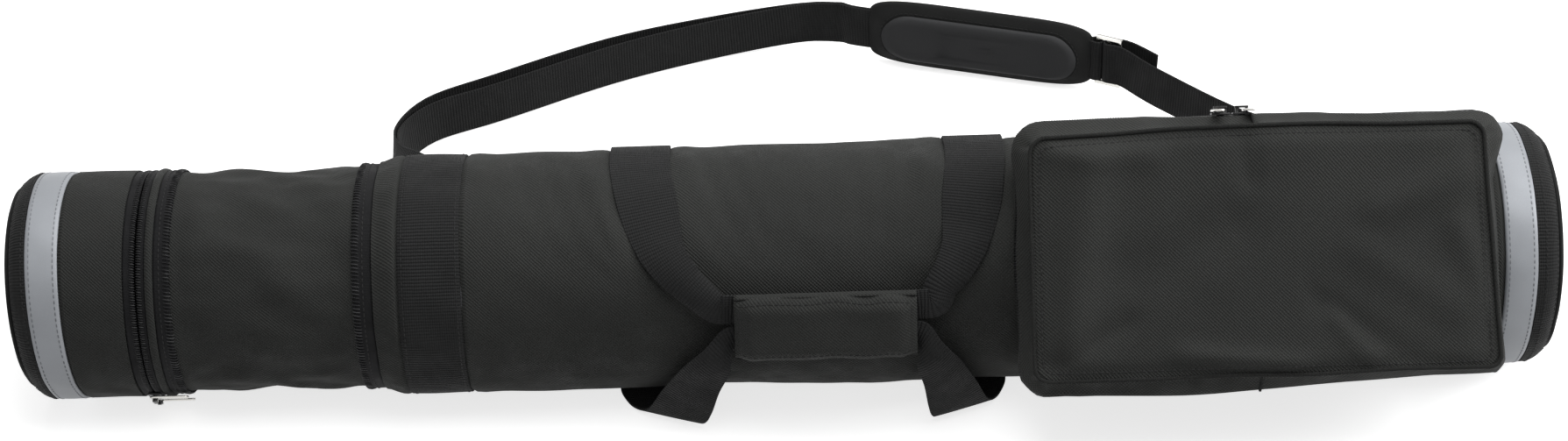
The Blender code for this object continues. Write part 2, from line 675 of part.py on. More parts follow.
def handle_grip():
    """A wrap that closes round the four webbing ends with a hook-and-loop flap."""
    high = GRIP_HIGH / 2
    back, front = GRIP_R, GRIP_R + GRIP_DEEP
    inside = high - GRIP_T
    section = [(-high, back), (high, back), (high, front), (inside, front), (inside, back + GRIP_T),
               (-inside, back + GRIP_T), (-inside, front), (-high, front)]
    solid("grip_wrap", [[grip_point(x, s, q) for s, q in section] for x in GRIP_X], NYLON)
    core_x = (GRIP_X[0] + GRIP_GRASP + FIT, GRIP_X[1] - GRIP_GRASP - FIT)
    core_q = (back + GRIP_T + FIT, front - HOOK_T - FIT)
    grip_box("handle_webbing_core", core_x, (-HANDLE_WEB_W / 2, HANDLE_WEB_W / 2), core_q, WEBBING)
    hook_s = (-HANDLE_WEB_W / 2, HOOK_HIGH - HANDLE_WEB_W / 2)
    grip_box("grip_hook_strip", core_x, hook_s, (front - HOOK_T, front), COIL)
    flap = grip_box("grip_flap", GRIP_X, (-high, high), (front + FIT, front + FIT + GRIP_T), NYLON)
    seat = grip_point(sum(GRIP_X) / 2, high, front + FIT) * MM
    flap.data.transform(flap.matrix_world.Translation(-seat))
    flap.location = seat


# Shoulder strap

def ring_frame(x):
    """A strap ring's tube-side bar, and the directions out from it and over the strap."""
    away = Vector((0.0, cos(RING_DROP), -sin(RING_DROP)))
    over = Vector((0.0, sin(RING_DROP), cos(RING_DROP)))
    return Vector((x, RING_Y, AXIS_H)), away, over


def strap_rings():
    for side, x in (("left", TAB_X[0]), ("right", TAB_X[1])):
        bar, away, over = ring_frame(x)
        half = RING_IN_W / 2 + RING_WIRE_R
        bend = 2.5 * RING_WIRE_R
        rings = []
        for cx, cy, start in ((half - bend, RING_REACH - bend, 0.0), (bend - half, RING_REACH - bend, 90.0),
                              (bend - half, bend, 180.0), (half - bend, bend, 270.0)):
            for turn in steps(start, start + 90.0, 3):
                out = Vector((cos(turn), 0.0, 0.0)) + away * sin(turn)
                middle = bar + Vector((cx, 0.0, 0.0)) + away * cy + out * bend
                rings.append([middle + out * RING_WIRE_R * cos(a) + over * RING_WIRE_R * sin(a)
                              for a in steps(0.0, 300.0, 5)])
        ring = solid("strap_ring_" + side, rings, NICKEL, closed=True)
        ring.data.transform(ring.matrix_world.Translation(-bar * MM))
        ring.location = bar * MM
        wide = (x - TAB_W / 2, x + TAB_W / 2)
        arc = (180.0 - TAB_ARC, 180.0 + TAB_ARC)
        tab = band("strap_tab_" + side, *wide, TAB_R, TAB_R + TAB_T, WEBBING, arc)
        for radius, operation, extra in ((RING_BORE + TAB_T, "UNION", 0.0), (RING_BORE, "DIFFERENCE", 1.0)):
            ends = [[Vector((px, bar.y + radius * cos(a), bar.z + radius * sin(a)))
                     for a in steps(0.0, 330.0, 11)] for px in (wide[0] - extra, wide[1] + extra)]
            combine(tab, solid("tab_tool", ends, WEBBING), operation)


def half_turn(middle, away, over, radius):
    """The webbing's way round a bar, from the over side to the under side."""
    return [middle + over * radius * cos(a) - away * radius * sin(a) for a in steps(30.0, 150.0, 4)]


def slope_frame(slope):
    """Directions along a strap on the floor, out of its far face and up."""
    return Vector((cos(slope), sin(slope), 0.0)), Vector((-sin(slope), cos(slope), 0.0))


def adjuster_middle():
    """The adjuster sits just past the pad, with its first bar in line with it."""
    along, far = slope_frame(PAD_SLOPE)
    ahead, behind = slope_frame(ADJUST_SLOPE)
    return Vector((*PAD_MID, PAD_Z)) + along * (PAD_L / 2 + ADJUST_REACH) + ahead * ADJUST_PITCH


def strap_lines():
    """Middle lines of the doubled left stretch and of the right stretch, with their width directions."""
    along, far = slope_frame(PAD_SLOPE)
    ahead, behind = slope_frame(ADJUST_SLOPE)
    pad = Vector((*PAD_MID, PAD_Z))
    adjuster = adjuster_middle()
    up = Vector((0.0, 0.0, 1.0))
    left_bar, away, over = ring_frame(TAB_X[0])
    lead = away * (RING_REACH + LEAD_IN) + Vector((-3.0, 0.0, 0.0))
    left = [left_bar + away * RING_REACH, left_bar + lead] + [Vector(p) for p in LEFT_ROUTE]
    left += [pad - along * (PAD_L / 2 + 20.0), pad - along * PAD_L / 4, pad + along * PAD_L / 4,
             pad + along * (PAD_L / 2 + 1.0), adjuster - ahead * ADJUST_PITCH]
    flat = Vector((1.0, 0.0, 0.0))
    left_wide = [flat, flat, Vector((0.85, -0.15, 0.5)), Vector((0.35, -0.1, 0.93)), up] + [up] * 11
    right_bar, away, over = ring_frame(TAB_X[1])
    right = [adjuster, adjuster + ahead * 14.0] + [Vector(p) for p in RIGHT_ROUTE]
    right += [right_bar + lead, right_bar + away * RING_REACH]
    right_wide = [up, up, up, up, Vector((0.45, 0.2, 0.87)), Vector((0.85, 0.1, 0.45)), flat, flat]
    return (left, left_wide), (right, right_wide)


def layer(points, widths, offsets):
    return [p + out * d for (p, across, out), d in zip(frames(points, widths), offsets)]


def shoulder_strap():
    """The left webbing loops through its ring and the adjuster. The right one is sewn back at both ends."""
    (left, left_wide), (right, right_wide) = strap_lines()
    ring_r = RING_WIRE_R + 0.4 + STRAP_T / 2
    bar_r = 1.42 * ADJUST_BAR_R + 0.4 + STRAP_T / 2
    tight = STRAP_T / 2 + FIT / 2
    points, widths = smooth(left, ROUTE_STEPS), smooth(left_wide, ROUTE_STEPS)
    last = len(left) - 1
    offsets = []
    for k in range(len(points)):
        place = k / ROUTE_STEPS
        if place < 3.0:
            offsets.append(ring_r)
        elif place > last - 0.9:
            offsets.append(bar_r)
        elif place > last - 5.5:
            offsets.append(tight + 0.2)
        else:
            offsets.append(tight + 2.2 * sin(180.0 * (place - 3.0) / (last - 8.5)) ** 2)
    ahead, behind = slope_frame(ADJUST_SLOPE)
    bar, away, over = ring_frame(TAB_X[0])
    back = layer(points, widths, offsets)
    front = layer(points, widths, [-d for d in offsets])
    end = half_turn(points[-1], -ahead, behind, bar_r)
    start = half_turn(points[0], away, over, ring_r)
    if (back[0] - points[0]).dot(over) < 0:
        start = start[::-1]
    if (back[-1] - points[-1]).dot(behind) < 0:
        end = end[::-1]
    route = back + end + front[::-1] + start[::-1]
    wide = widths + [widths[-1]] * len(end) + widths[::-1] + [widths[0]] * len(start)
    loop_ribbon("strap_loop_webbing", route, wide, STRAP_W, STRAP_T, WEBBING)

    points, widths = smooth(right, ROUTE_STEPS), smooth(right_wide, ROUTE_STEPS)
    main = layer(points, widths, [bar_r] * (len(points) - 8) + steps(bar_r, ring_r, 7))
    other = layer(points, widths, [-bar_r] * (len(points) - 8) + steps(-bar_r, -ring_r, 7))
    bar, away, over = ring_frame(TAB_X[1])
    turn_left = half_turn(points[0], ahead, behind, bar_r)
    turn_right = half_turn(points[-1], away, over, ring_r)
    if (main[0] - points[0]).dot(behind) > 0:
        turn_left = turn_left[::-1]
    if (main[-1] - points[-1]).dot(over) < 0:
        turn_right = turn_right[::-1]
    route = other[:TAIL_STEPS][::-1] + turn_left + main + turn_right + other[-TAIL_STEPS + 1:][::-1]
    wide = ([widths[0]] * (TAIL_STEPS + len(turn_left)) + widths
            + [widths[-1]] * (len(turn_right) + TAIL_STEPS - 1))
    loop_ribbon("strap_right_webbing", route, wide, STRAP_W, STRAP_T, WEBBING, closed=False)


def loop_ribbon(name, route, across, wide, thick, look, closed=True):
    """Webbing that doubles back. Its width keeps to the given directions and its thickness follows."""
    rings = []
    last = len(route) - 1
    for k, (point, side) in enumerate(zip(route, across)):
        before = route[k - 1] if closed or k else point
        after = route[(k + 1) % len(route)] if closed or k < last else point
        tangent = (after - before).normalized()
        side = (side - tangent * side.dot(tangent)).normalized()
        out = side.cross(tangent).normalized()
        a, b = side * wide / 2, out * thick / 2
        rings.append([point - a - b, point + a - b, point + a + b, point - a + b])
    return solid(name, rings, look, closed)


def strap_adjuster():
    ahead, behind = slope_frame(ADJUST_SLOPE)
    middle = adjuster_middle()
    high = STRAP_W / 2 + 2 * ADJUST_BAR_R

    def place(u, v, w):
        return middle + ahead * u + behind * v + Vector((0.0, 0.0, w))

    thick = (-ADJUST_BAR_R, ADJUST_BAR_R)
    reach = ADJUST_PITCH + ADJUST_BAR_R
    edge = high + ADJUST_BAR_R
    item = block("strap_adjuster", place, (-reach, reach), thick, (-edge, edge), BLACK_METAL)
    inside = high - ADJUST_BAR_R
    for k, start in enumerate((-ADJUST_PITCH, 0.0)):
        gap = (start + ADJUST_BAR_R, start + ADJUST_PITCH - ADJUST_BAR_R)
        deep = (2 * thick[0], 2 * thick[1])
        window = block("window_%d" % k, place, gap, deep, (-inside, inside), BLACK_METAL)
        combine(item, window, "DIFFERENCE")
    return item


def shoulder_pad():
    """A crowned pad with rounded ends and a slot for the doubled webbing, and its non-slip face."""
    along, far = slope_frame(PAD_SLOPE)
    middle = Vector((*PAD_MID, PAD_Z))

    def place(u, v, w):
        return middle + along * u + far * v + Vector((0.0, 0.0, w))

    rings = []
    for turn in steps(-78.0, 78.0, 14):
        share = sin(turn) / sin(78.0)
        round_off = (1.0 - abs(share) ** 5) ** 0.5 if abs(share) < 1.0 else 0.0
        half_high = PAD_H / 2 * (0.74 + 0.26 * round_off)
        front = PAD_FRONT_T * (0.62 + 0.38 * round_off)
        back = PAD_BACK_T * (0.85 + 0.15 * round_off)
        upper = [(-front, 0.62), (-front * 0.7, 0.93), (0.0, 1.0), (back, 0.86)]
        section = upper + [(v, -w) for v, w in reversed(upper)]
        rings.append([place(share * PAD_L / 2, v, w * half_high) for v, w in section])
    item = solid("shoulder_pad", rings, NYLON)
    slot_high = STRAP_W / 2 + 3 * FIT
    slot = block("pad_slot", place, (-PAD_L, PAD_L), (-PAD_SLOT_T / 2, PAD_SLOT_T / 2),
                 (-slot_high, slot_high), NYLON)
    combine(item, slot, "DIFFERENCE")
    half = PATCH_L / 2 - PATCH_H / 2
    ends = []
    for v in (-PAD_FRONT_T - FIT, -PAD_FRONT_T - FIT - PATCH_T):
        ends.append([place(math.copysign(half, cos(a)) + PATCH_H / 2 * cos(a), v, PATCH_H / 2 * sin(a))
                     for a in steps(-82.5, 82.5, 7) + steps(97.5, 262.5, 7)])
    solid("shoulder_pad_patch", ends, RUBBER)


# Joint axes

def carry(name, seat, nodes, parent=None):
    """An empty on a moving group's joint axis, with the group's pieces as its children."""
    empty = bpy.data.objects.new(name, None)
    bpy.context.collection.objects.link(empty)
    empty.location = seat * MM
    carried = Matrix.Translation(seat * MM)
    if parent:
        empty.parent = parent
        empty.matrix_parent_inverse = parent.matrix_world.inverted()
    bpy.context.view_layer.update()
    for node in nodes:
        item = bpy.data.objects[node]
        item.parent = empty
        item.matrix_parent_inverse = carried.inverted()
    return empty


def joint_axes():
    """Put each moving group on an empty that stands on the axis it slides along or turns about."""
    sides = ("left", "right")
    mouth = Vector((TUBE_ZIP_X, 0.0, AXIS_H))
    carry("extension_zip_axis", mouth, ["extension_slider", "extension_pull"])
    collar_nodes = ["collar_shell", "lid_zip_half_collar", "extension_zip_half_left", "lid_hinge_fabric"]
    collar_axis = carry("collar_axis", Vector((COLLAR_ZIP_X, 0.0, AXIS_H)), collar_nodes)
    lid_zip = Vector((LID_ZIP_X, 0.0, AXIS_H))
    for place in ("upper", "lower"):
        carry("lid_zip_axis_" + place, lid_zip, ["lid_slider_" + place, "lid_pull_" + place], collar_axis)
    hinge = Vector((LID_ZIP_X, LID_HINGE_R, AXIS_H))
    lid_nodes = ["shell", "foam_liner", "end_panel", "end_board", "edge_webbing", "rim_binding",
                 "reflective_band", "zip_half_lid"]
    carry("lid_hinge_axis", hinge, ["lid_" + node for node in lid_nodes], collar_axis)
    seam = pocket_point(POCKET_MID_X, -POCKET_HIGH / 2 - COIL_GAP / 2, POCKET_ZIP_N)
    carry("pocket_hinge_axis", seam,
          ["pocket_front_panel", "pocket_front_piping", "pocket_lid_gusset", "pocket_zip_half_lid"])
    for side, x in zip(sides, POCKET_SLIDER_X):
        run = pocket_point(x, POCKET_HIGH / 2, POCKET_ZIP_N)
        carry("pocket_zip_axis_" + side, run, ["pocket_slider_" + side, "pocket_pull_" + side])
    legs = ["handle_leg_" + level + "_" + side for level in ("upper", "lower") for side in sides]
    carry("handle_axis", grip_point(sum(GRIP_X) / 2, 0.0, GRIP_R),
          legs + ["grip_wrap", "handle_webbing_core", "grip_hook_strip", "grip_flap"])
    swing = carry("strap_axis", Vector((sum(TAB_X) / 2, RING_Y, AXIS_H)),
                  ["strap_ring_left", "strap_ring_right", "strap_loop_webbing", "strap_right_webbing",
                   "strap_adjuster"])
    carry("pad_axis", Vector((*PAD_MID, PAD_Z)), ["shoulder_pad", "shoulder_pad_patch"], swing)


def build():
    clear_scene()
    main_tube()
    extension()
    collar()
    lid()
    tube_sliders()
    pocket()
    handle_legs()
    handle_grip()
    strap_rings()
    shoulder_strap()
    strap_adjuster()
    shoulder_pad()
    joint_axes()


build()
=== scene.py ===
"""A padded tube carry case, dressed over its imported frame: cloth, webbing, zips, pocket, handle and strap.

The tube lies along X with its lid at -X, and its pocket and handle face -Y. Lengths are in metres.
Angles round the tube are in degrees from the front (-Y), positive upwards.
"""

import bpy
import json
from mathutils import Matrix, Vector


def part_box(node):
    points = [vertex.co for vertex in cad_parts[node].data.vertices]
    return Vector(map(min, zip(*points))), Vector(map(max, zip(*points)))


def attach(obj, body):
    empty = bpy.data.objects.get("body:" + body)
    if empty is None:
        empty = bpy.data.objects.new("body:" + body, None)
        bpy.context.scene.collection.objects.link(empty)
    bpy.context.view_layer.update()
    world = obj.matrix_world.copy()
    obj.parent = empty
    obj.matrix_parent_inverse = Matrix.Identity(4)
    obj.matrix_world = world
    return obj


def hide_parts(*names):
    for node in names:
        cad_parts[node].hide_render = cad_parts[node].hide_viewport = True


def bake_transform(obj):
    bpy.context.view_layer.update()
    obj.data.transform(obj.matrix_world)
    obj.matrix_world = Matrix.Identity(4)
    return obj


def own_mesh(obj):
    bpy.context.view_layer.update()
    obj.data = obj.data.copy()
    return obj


bl_info = {
    "name": "Padded tube carry case",
    "version": (1, 0, 0),
    "blender": (4, 5, 0),
    "location": "3D View > Sidebar > Carry case",
    "description": "Builds the cloth, webbing, zips and studio of a padded tube carry case",
    "category": "Object",
}

import json
import math

import bmesh
import bpy
from mathutils import Matrix, Vector, noise

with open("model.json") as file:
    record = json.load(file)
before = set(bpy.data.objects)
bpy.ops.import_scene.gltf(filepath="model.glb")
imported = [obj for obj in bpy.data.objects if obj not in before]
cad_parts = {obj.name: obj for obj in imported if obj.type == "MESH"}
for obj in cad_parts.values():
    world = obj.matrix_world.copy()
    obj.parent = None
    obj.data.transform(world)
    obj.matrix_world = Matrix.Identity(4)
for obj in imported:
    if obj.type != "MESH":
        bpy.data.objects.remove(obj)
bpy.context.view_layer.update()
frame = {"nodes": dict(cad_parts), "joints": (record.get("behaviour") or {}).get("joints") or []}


# Readings from the frame

def joint(name):
    return next(j for j in frame["joints"] if j["name"] == name)


def span(node):
    low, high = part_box(node)
    return low.x, high.x


TUBE_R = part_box("tube_shell")[1].y
AXIS_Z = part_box("tube_shell")[1].z - TUBE_R
SAG = TUBE_R - AXIS_Z
END_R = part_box("lid_shell")[1].y
TAPE_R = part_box("lid_hinge_fabric")[1].y
COIL_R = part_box("extension_zip_half_right")[1].y
SHELL_X, SHELL_END = span("tube_shell")
BAND_X = span("webbing_band")
TAPE_X = span("reflective_band_right")
LID_TAPE_X = span("lid_reflective_band")
LID_END, LID_WALL = span("lid_shell")
COLLAR_X = span("collar_shell")
GUSSET_X = span("extension_gusset")
LID_ZIP = joint("lid_slider_upper_run")["pos_m"][0]
TUBE_ZIP = joint("extension_slider_run")["pos_m"][0]
COLLAR_ZIP = span("extension_zip_half_left")[1] + 0.0006
ANCHORS = [span("handle_anchor_left"), span("handle_anchor_right")]
HANDLE_MID = [sum(x) / 2 for x in ANCHORS]
POCKET_UP = Vector(joint("pocket_pull_right_swivel")["axis"])
POCKET_OUT = Vector((0.0, -POCKET_UP.z, POCKET_UP.y))
GRIP_OUT = Vector(joint("handle_lift")["axis"])
GRIP_UP = Vector((0.0, GRIP_OUT.z, -GRIP_OUT.y))
GRIP_X = span("grip_wrap")
PAD_ALONG = -Vector(joint("pad_slide")["axis"])
PAD_FAR = Vector((-PAD_ALONG.y, PAD_ALONG.x, 0.0))
RING_AXIS = Vector(joint("strap_swing")["pos_m"])
RINGS_X = [sum(span("strap_ring_" + side)) / 2 for side in ("left", "right")]
CORNER_R = 0.014
POCKET_MID = sum(span("pocket_lid_gusset")) / 2
SIDES = ("left", "right")


# Sizes and colours that a user may change

def length(name, default, words):
    return bpy.props.FloatProperty(name=name, description=words, default=default, unit="LENGTH", precision=5)


def colour(name, default, words):
    return bpy.props.FloatVectorProperty(
        name=name, description=words, default=default, size=3, subtype="COLOR", min=0.0, max=1.0)


class CaseCloth(bpy.types.PropertyGroup):
    nylon: colour("Nylon", (0.0275, 0.0284, 0.0272), "Woven nylon of the tube, lid and pocket")
    # The paler nylon is also the colour of the painted highlight on the weave's raised yarn.
    faded_and_highlight: colour("Faded nylon", (0.053, 0.054, 0.0505), "Nylon where it is rubbed or dusty")
    webbing: colour("Webbing", (0.0155, 0.0157, 0.0158), "Ribbed webbing")
    reflective: colour("Reflective tape", (0.33, 0.345, 0.37), "Silver tape round both ends")
    thread: colour("Thread", (0.014, 0.014, 0.014), "Sewing thread")
    pale_thread: colour("Pale thread", (0.21, 0.22, 0.235), "Sewing thread on the silver tape")
    coil: colour("Coil", (0.012, 0.012, 0.013), "Nylon zip coils")
    nickel: colour("Nickel", (0.62, 0.61, 0.58), "Plated rings and pulls")
    slider: colour("Slider", (0.018, 0.018, 0.018), "Coated zip sliders")
    rubber: colour("Rubber", (0.040, 0.0405, 0.042), "Non-slip face of the shoulder pad")
    lining: colour("Lining", (0.045, 0.046, 0.050), "Inner cloth")
    foam: colour("Foam", (0.085, 0.085, 0.090), "Cut foam edges")
    board: colour("Board", (0.055, 0.052, 0.050), "Stiff end boards")
    weave_pitch: length("Weave pitch", 0.0026, "One repeat of the nylon's twill")
    rib_pitch: length("Rib pitch", 0.0024, "One rib of the webbing")


class CaseTube(bpy.types.PropertyGroup):
    softness: length("Softness", 0.0022, "How far the padded wall swells in and out")
    wrinkle: length("Wrinkle", 0.0046, "Depth of the folds in the unpadded expansion section")
    gather: length("Gather", 0.0007, "Depth of the pleats beside the expansion zip")
    pinch: length("Pinch", 0.0017, "How far the handle webbing draws the wall in")
    lean: length("Lid lean", 0.008, "How far the lower edge of the lid's end is pushed in")
    wall: length("Wall", 0.0022, "Thickness of the outer cloth")
    seat: length("Seat", 0.0016, "How far a sewn band sinks into the wall")
    band: length("Band", 0.0013, "Thickness of sewn-on tape and webbing")
    step: length("Step", 0.006, "Spacing of the wall's rings along the tube")


class CaseZip(bpy.types.PropertyGroup):
    pitch: length("Coil pitch", 0.0018, "One turn of a lid or pocket coil")
    big_pitch: length("Wide coil pitch", 0.0026, "One turn of an expansion coil")
    wire: length("Coil wire", 0.00042, "Radius of the coil's nylon wire")
    tape: length("Zip tape", 0.0010, "Thickness of the zip's woven tape")


class CasePocket(bpy.types.PropertyGroup):
    crown: length("Crown", 0.0052, "How far the front panel swells")
    bulge: length("Bulge", -0.0034, "How far the side walls swell, or sink in where negative")
    piping: length("Piping", 0.0015, "Radius of the folded seam round the front")
    wall: length("Wall", 0.0014, "Thickness of the pocket's cloth")
    corner: length("Corner", 0.022, "Radius of the pocket's corners")
    wrinkle: length("Wrinkle", 0.0022, "Depth of the soft creases")


class CaseWebbing(bpy.types.PropertyGroup):
    thick: length("Webbing thickness", 0.0016, "Thickness of handle and strap webbing")
    strap_wide: length("Strap width", 0.038, "Width of the shoulder strap")
    handle_wide: length("Handle width", 0.043, "Width of the handle webbing")
    stitch: length("Stitch", 0.0031, "Length of one stitch")
    stitch_gap: length("Stitch gap", 0.0011, "Gap between two stitches")
    thread: length("Thread", 0.00042, "Radius of the sewing thread")


class CaseStage(bpy.types.PropertyGroup):
    distance: length("Camera distance", 2.38, "From the lens to the middle of the tube")
    rise: length("Aim above the axis", 0.03136, "How far above the tube's middle the picture is centred")
    lens: bpy.props.FloatProperty(name="Lens", description="Focal length in millimetres", default=74.84)
    elevation: bpy.props.FloatProperty(name="Elevation", description="Camera above the horizon, in degrees", default=38.0)
    roll: bpy.props.FloatProperty(name="Roll", description="Camera turned about its view, in degrees", default=1.75)
    floor: colour("Floor", (0.86, 0.86, 0.86), "Studio floor")
    key: bpy.props.FloatProperty(name="Key", description="Power of the softbox overhead, in watts", default=36.0)
    fill: bpy.props.FloatProperty(name="Side", description="Power of the softbox on the right, in watts", default=20.0)
    ambient: bpy.props.FloatProperty(name="Ambient", description="Strength of the room's light", default=0.24)


GROUPS = {"case_cloth": CaseCloth, "case_tube": CaseTube, "case_zip": CaseZip, "case_pocket": CasePocket,
          "case_webbing": CaseWebbing, "case_stage": CaseStage}


def sizes(group):
    return getattr(bpy.context.scene, group)


# Small sums

def cos(degrees):
    return math.cos(math.radians(degrees))


def sin(degrees):
    return math.sin(math.radians(degrees))


def steps(start, end, count):
    return [start + (end - start) * k / count for k in range(count + 1)]


def ease(value, low=0.0, high=1.0):
    """0 below low, 1 above high, and smooth between."""
    share = min(1.0, max(0.0, (value - low) / (high - low)))
    return share * share * (3.0 - 2.0 * share)


def hump(value, width):
    return math.exp(-(value / width) ** 2)


def soft_floor(z, floor, blend=0.002):
    """The higher of two heights, rounded where they meet."""
    share = min(1.0, max(0.0, 0.5 + 0.5 * (z - floor) / blend))
    return floor * (1.0 - share) + z * share + 0.5 * blend * share * (1.0 - share)


def smooth(points, count):
    """Points on a curve through the given ones, count to each stretch."""
    found = []
    for k in range(len(points) - 1):
        p0 = points[max(k - 1, 0)]
        p1, p2 = points[k], points[k + 1]
        p3 = points[min(k + 2, len(points) - 1)]
        for s in range(count):
            f = s / count
            found.append(0.5 * (2 * p1 + (p2 - p0) * f + (2 * p0 - 5 * p1 + 4 * p2 - p3) * f * f
                                + (3 * p1 - p0 - 3 * p2 + p3) * f ** 3))
    return found + [points[-1]]


# Shader nodes

class Wiring:
    """Short calls for the nodes of one material or node group."""

    def __init__(self, tree):
        self.tree = tree

    def node(self, kind, **values):
        made = self.tree.nodes.new(kind)
        for name, value in values.items():
            setattr(made, name, value)
        return made

    def feed(self, socket, value):
        if isinstance(value, bpy.types.NodeSocket):
            self.tree.links.new(value, socket)
        else:
            socket.default_value = value

    def sum(self, operation, a, b=0.0, c=0.0):
        made = self.node("ShaderNodeMath", operation=operation)
        for socket, value in zip(made.inputs, (a, b, c)):
            self.feed(socket, value)
        return made.outputs[0]

    def noise(self, vector, scale, detail=2.0, roughness=0.5):
        made = self.node("ShaderNodeTexNoise")
        self.feed(made.inputs["Vector"], vector)
        self.feed(made.inputs["Scale"], scale)
        made.inputs["Detail"].default_value = detail
        made.inputs["Roughness"].default_value = roughness
        return made.outputs["Fac"]

    def spread(self, value, low, high, start=0.0, end=1.0):
        made = self.node("ShaderNodeMapRange")
        for socket, given in zip(made.inputs, (value, low, high, start, end)):
            self.feed(socket, given)
        return made.outputs[0]

    def mix(self, share, a, b):
        made = self.node("ShaderNodeMix", data_type="RGBA")
        for socket, value in zip((made.inputs[0], made.inputs[6], made.inputs[7]), (share, a, b)):
            self.feed(socket, value)
        return made.outputs[2]


def node_group(name, inputs, outputs):
    """An empty shader group with named sockets, and its inside ends."""
    tree = bpy.data.node_groups.new(name, "ShaderNodeTree")
    for label, kind in inputs:
        tree.interface.new_socket(label, in_out="INPUT", socket_type="NodeSocket" + kind)
    for label, kind in outputs:
        tree.interface.new_socket(label, in_out="OUTPUT", socket_type="NodeSocket" + kind)
    wires = Wiring(tree)
    return tree, wires, wires.node("NodeGroupInput").outputs, wires.node("NodeGroupOutput").inputs


def twill_group():
    """Diagonal twill with the yarns' own unevenness, from a cloth map in metres."""
    tree, w, given, made = node_group("Twill weave", [("Cloth", "Vector"), ("Pitch", "Float")],
                                      [("Height", "Float"), ("Yarn", "Float")])
    parts = w.node("ShaderNodeSeparateXYZ")
    w.feed(parts.inputs[0], given["Cloth"])
    u = w.sum("DIVIDE", parts.outputs[0], given["Pitch"])
    v = w.sum("DIVIDE", parts.outputs[1], given["Pitch"])
    wander = w.sum("MULTIPLY", w.noise(given["Cloth"], 160.0), 0.35)
    rise = w.sum("ADD", w.sum("ADD", u, v), wander)
    ridge = w.sum("SINE", w.sum("MULTIPLY", rise, math.tau))
    weft = w.sum("SINE", w.sum("MULTIPLY", w.sum("SUBTRACT", u, v), math.tau))
    height = w.sum("MULTIPLY_ADD", ridge, 0.30, 0.5)
    w.feed(made["Height"], w.sum("MULTIPLY_ADD", weft, 0.18, height))
    w.feed(made["Yarn"], w.noise(given["Cloth"], 620.0, 1.0))
    return tree


def rib_group():
    """Cross ribs of webbing with fine lines of warp along it."""
    tree, w, given, made = node_group("Webbing ribs", [("Cloth", "Vector"), ("Pitch", "Float")],
                                      [("Height", "Float"), ("Yarn", "Float")])
    parts = w.node("ShaderNodeSeparateXYZ")
    w.feed(parts.inputs[0], given["Cloth"])
    u = w.sum("DIVIDE", parts.outputs[0], given["Pitch"])
    v = w.sum("DIVIDE", parts.outputs[1], given["Pitch"])
    wander = w.sum("MULTIPLY", w.noise(given["Cloth"], 90.0), 0.25)
    rib = w.sum("ABSOLUTE", w.sum("SINE", w.sum("MULTIPLY", w.sum("ADD", v, wander), math.pi)))
    warp = w.sum("SINE", w.sum("MULTIPLY", u, 1.5 * math.tau))
    w.feed(made["Height"], w.sum("MULTIPLY_ADD", warp, 0.16, rib))
    w.feed(made["Yarn"], w.noise(given["Cloth"], 480.0, 1.0))
    return tree


def wear_and_weave_highlight_group():
    """Uneven colour: broad fading, small rubs and specks of lint, and a painted highlight: the weave's raised yarn is
    painted paler and its hollows darker, as light would fall on them.
    """
    tree, w, given, made = node_group(
        "Fading, lint and painted weave highlight",
        [("Place", "Vector"), ("Colour", "Color"), ("Faded", "Color"), ("Yarn", "Float"), ("Weave", "Float")],
        [("Colour", "Color"), ("Roughness", "Float")])
    broad = w.noise(given["Place"], 9.0, 3.0)
    rubs = w.noise(given["Place"], 55.0, 4.0, 0.6)
    share = w.spread(w.sum("MULTIPLY_ADD", broad, 0.6, w.sum("MULTIPLY", rubs, 0.4)), 0.38, 0.72)
    yarn = w.spread(given["Yarn"], 0.25, 0.75, -0.16, 0.16)
    lint = w.spread(w.noise(given["Place"], 1400.0, 1.0), 0.735, 0.80, 0.0, 0.35)
    share = w.sum("ADD", w.sum("ADD", w.sum("MULTIPLY", share, 0.45), yarn), lint)
    # Painted highlight and shade: the weave's height pushes the colour paler on its ridges and darker in its hollows.
    share = w.sum("ADD", share, w.spread(given["Weave"], 0.1, 0.9, -0.18, 0.26))
    clear = w.node("ShaderNodeClamp")
    w.feed(clear.inputs[0], share)
    w.feed(made["Colour"], w.mix(clear.outputs[0], given["Colour"], given["Faded"]))
    w.feed(made["Roughness"], w.spread(rubs, 0.3, 0.7, 0.62, 0.82))
    return tree


def speckle_group():
    """Fine grain for moulded, cut and bead-coated surfaces."""
    tree, w, given, made = node_group("Fine grain", [("Place", "Vector"), ("Grain", "Float")],
                                      [("Height", "Float"), ("Shade", "Float")])
    fine = w.noise(given["Place"], given["Grain"], 2.0, 0.6)
    broad = w.noise(given["Place"], 24.0, 3.0)
    w.feed(made["Height"], fine)
    w.feed(made["Shade"], w.sum("MULTIPLY_ADD", broad, 0.6, w.sum("MULTIPLY", fine, 0.4)))
    return tree


PATTERNS = {}


def pattern(name):
    """A shader group, built the first time it is asked for."""
    makers = {"twill": twill_group, "rib": rib_group, "wear_and_highlight": wear_and_weave_highlight_group, "grain": speckle_group}
    if name not in PATTERNS:
        PATTERNS[name] = makers[name]()
    return PATTERNS[name]


def blank(name):
    """A new material with its wiring, its Principled shader and its coordinates."""
    made = bpy.data.materials.new(name)
    made.use_nodes = True
    w = Wiring(made.node_tree)
    shader = made.node_tree.nodes["Principled BSDF"]
    return made, w, shader, w.node("ShaderNodeTexCoord").outputs


def place_group(w, name, **values):
    made = w.node("ShaderNodeGroup", node_tree=pattern(name))
    for label, value in values.items():
        w.feed(made.inputs[label], value)
    return made.outputs


def relief(w, shader, height, depth):
    bump = w.node("ShaderNodeBump")
    bump.inputs["Strength"].default_value = 1.0
    bump.inputs["Distance"].default_value = depth
    w.feed(bump.inputs["Height"], height)
    w.feed(shader.inputs["Normal"], bump.outputs[0])


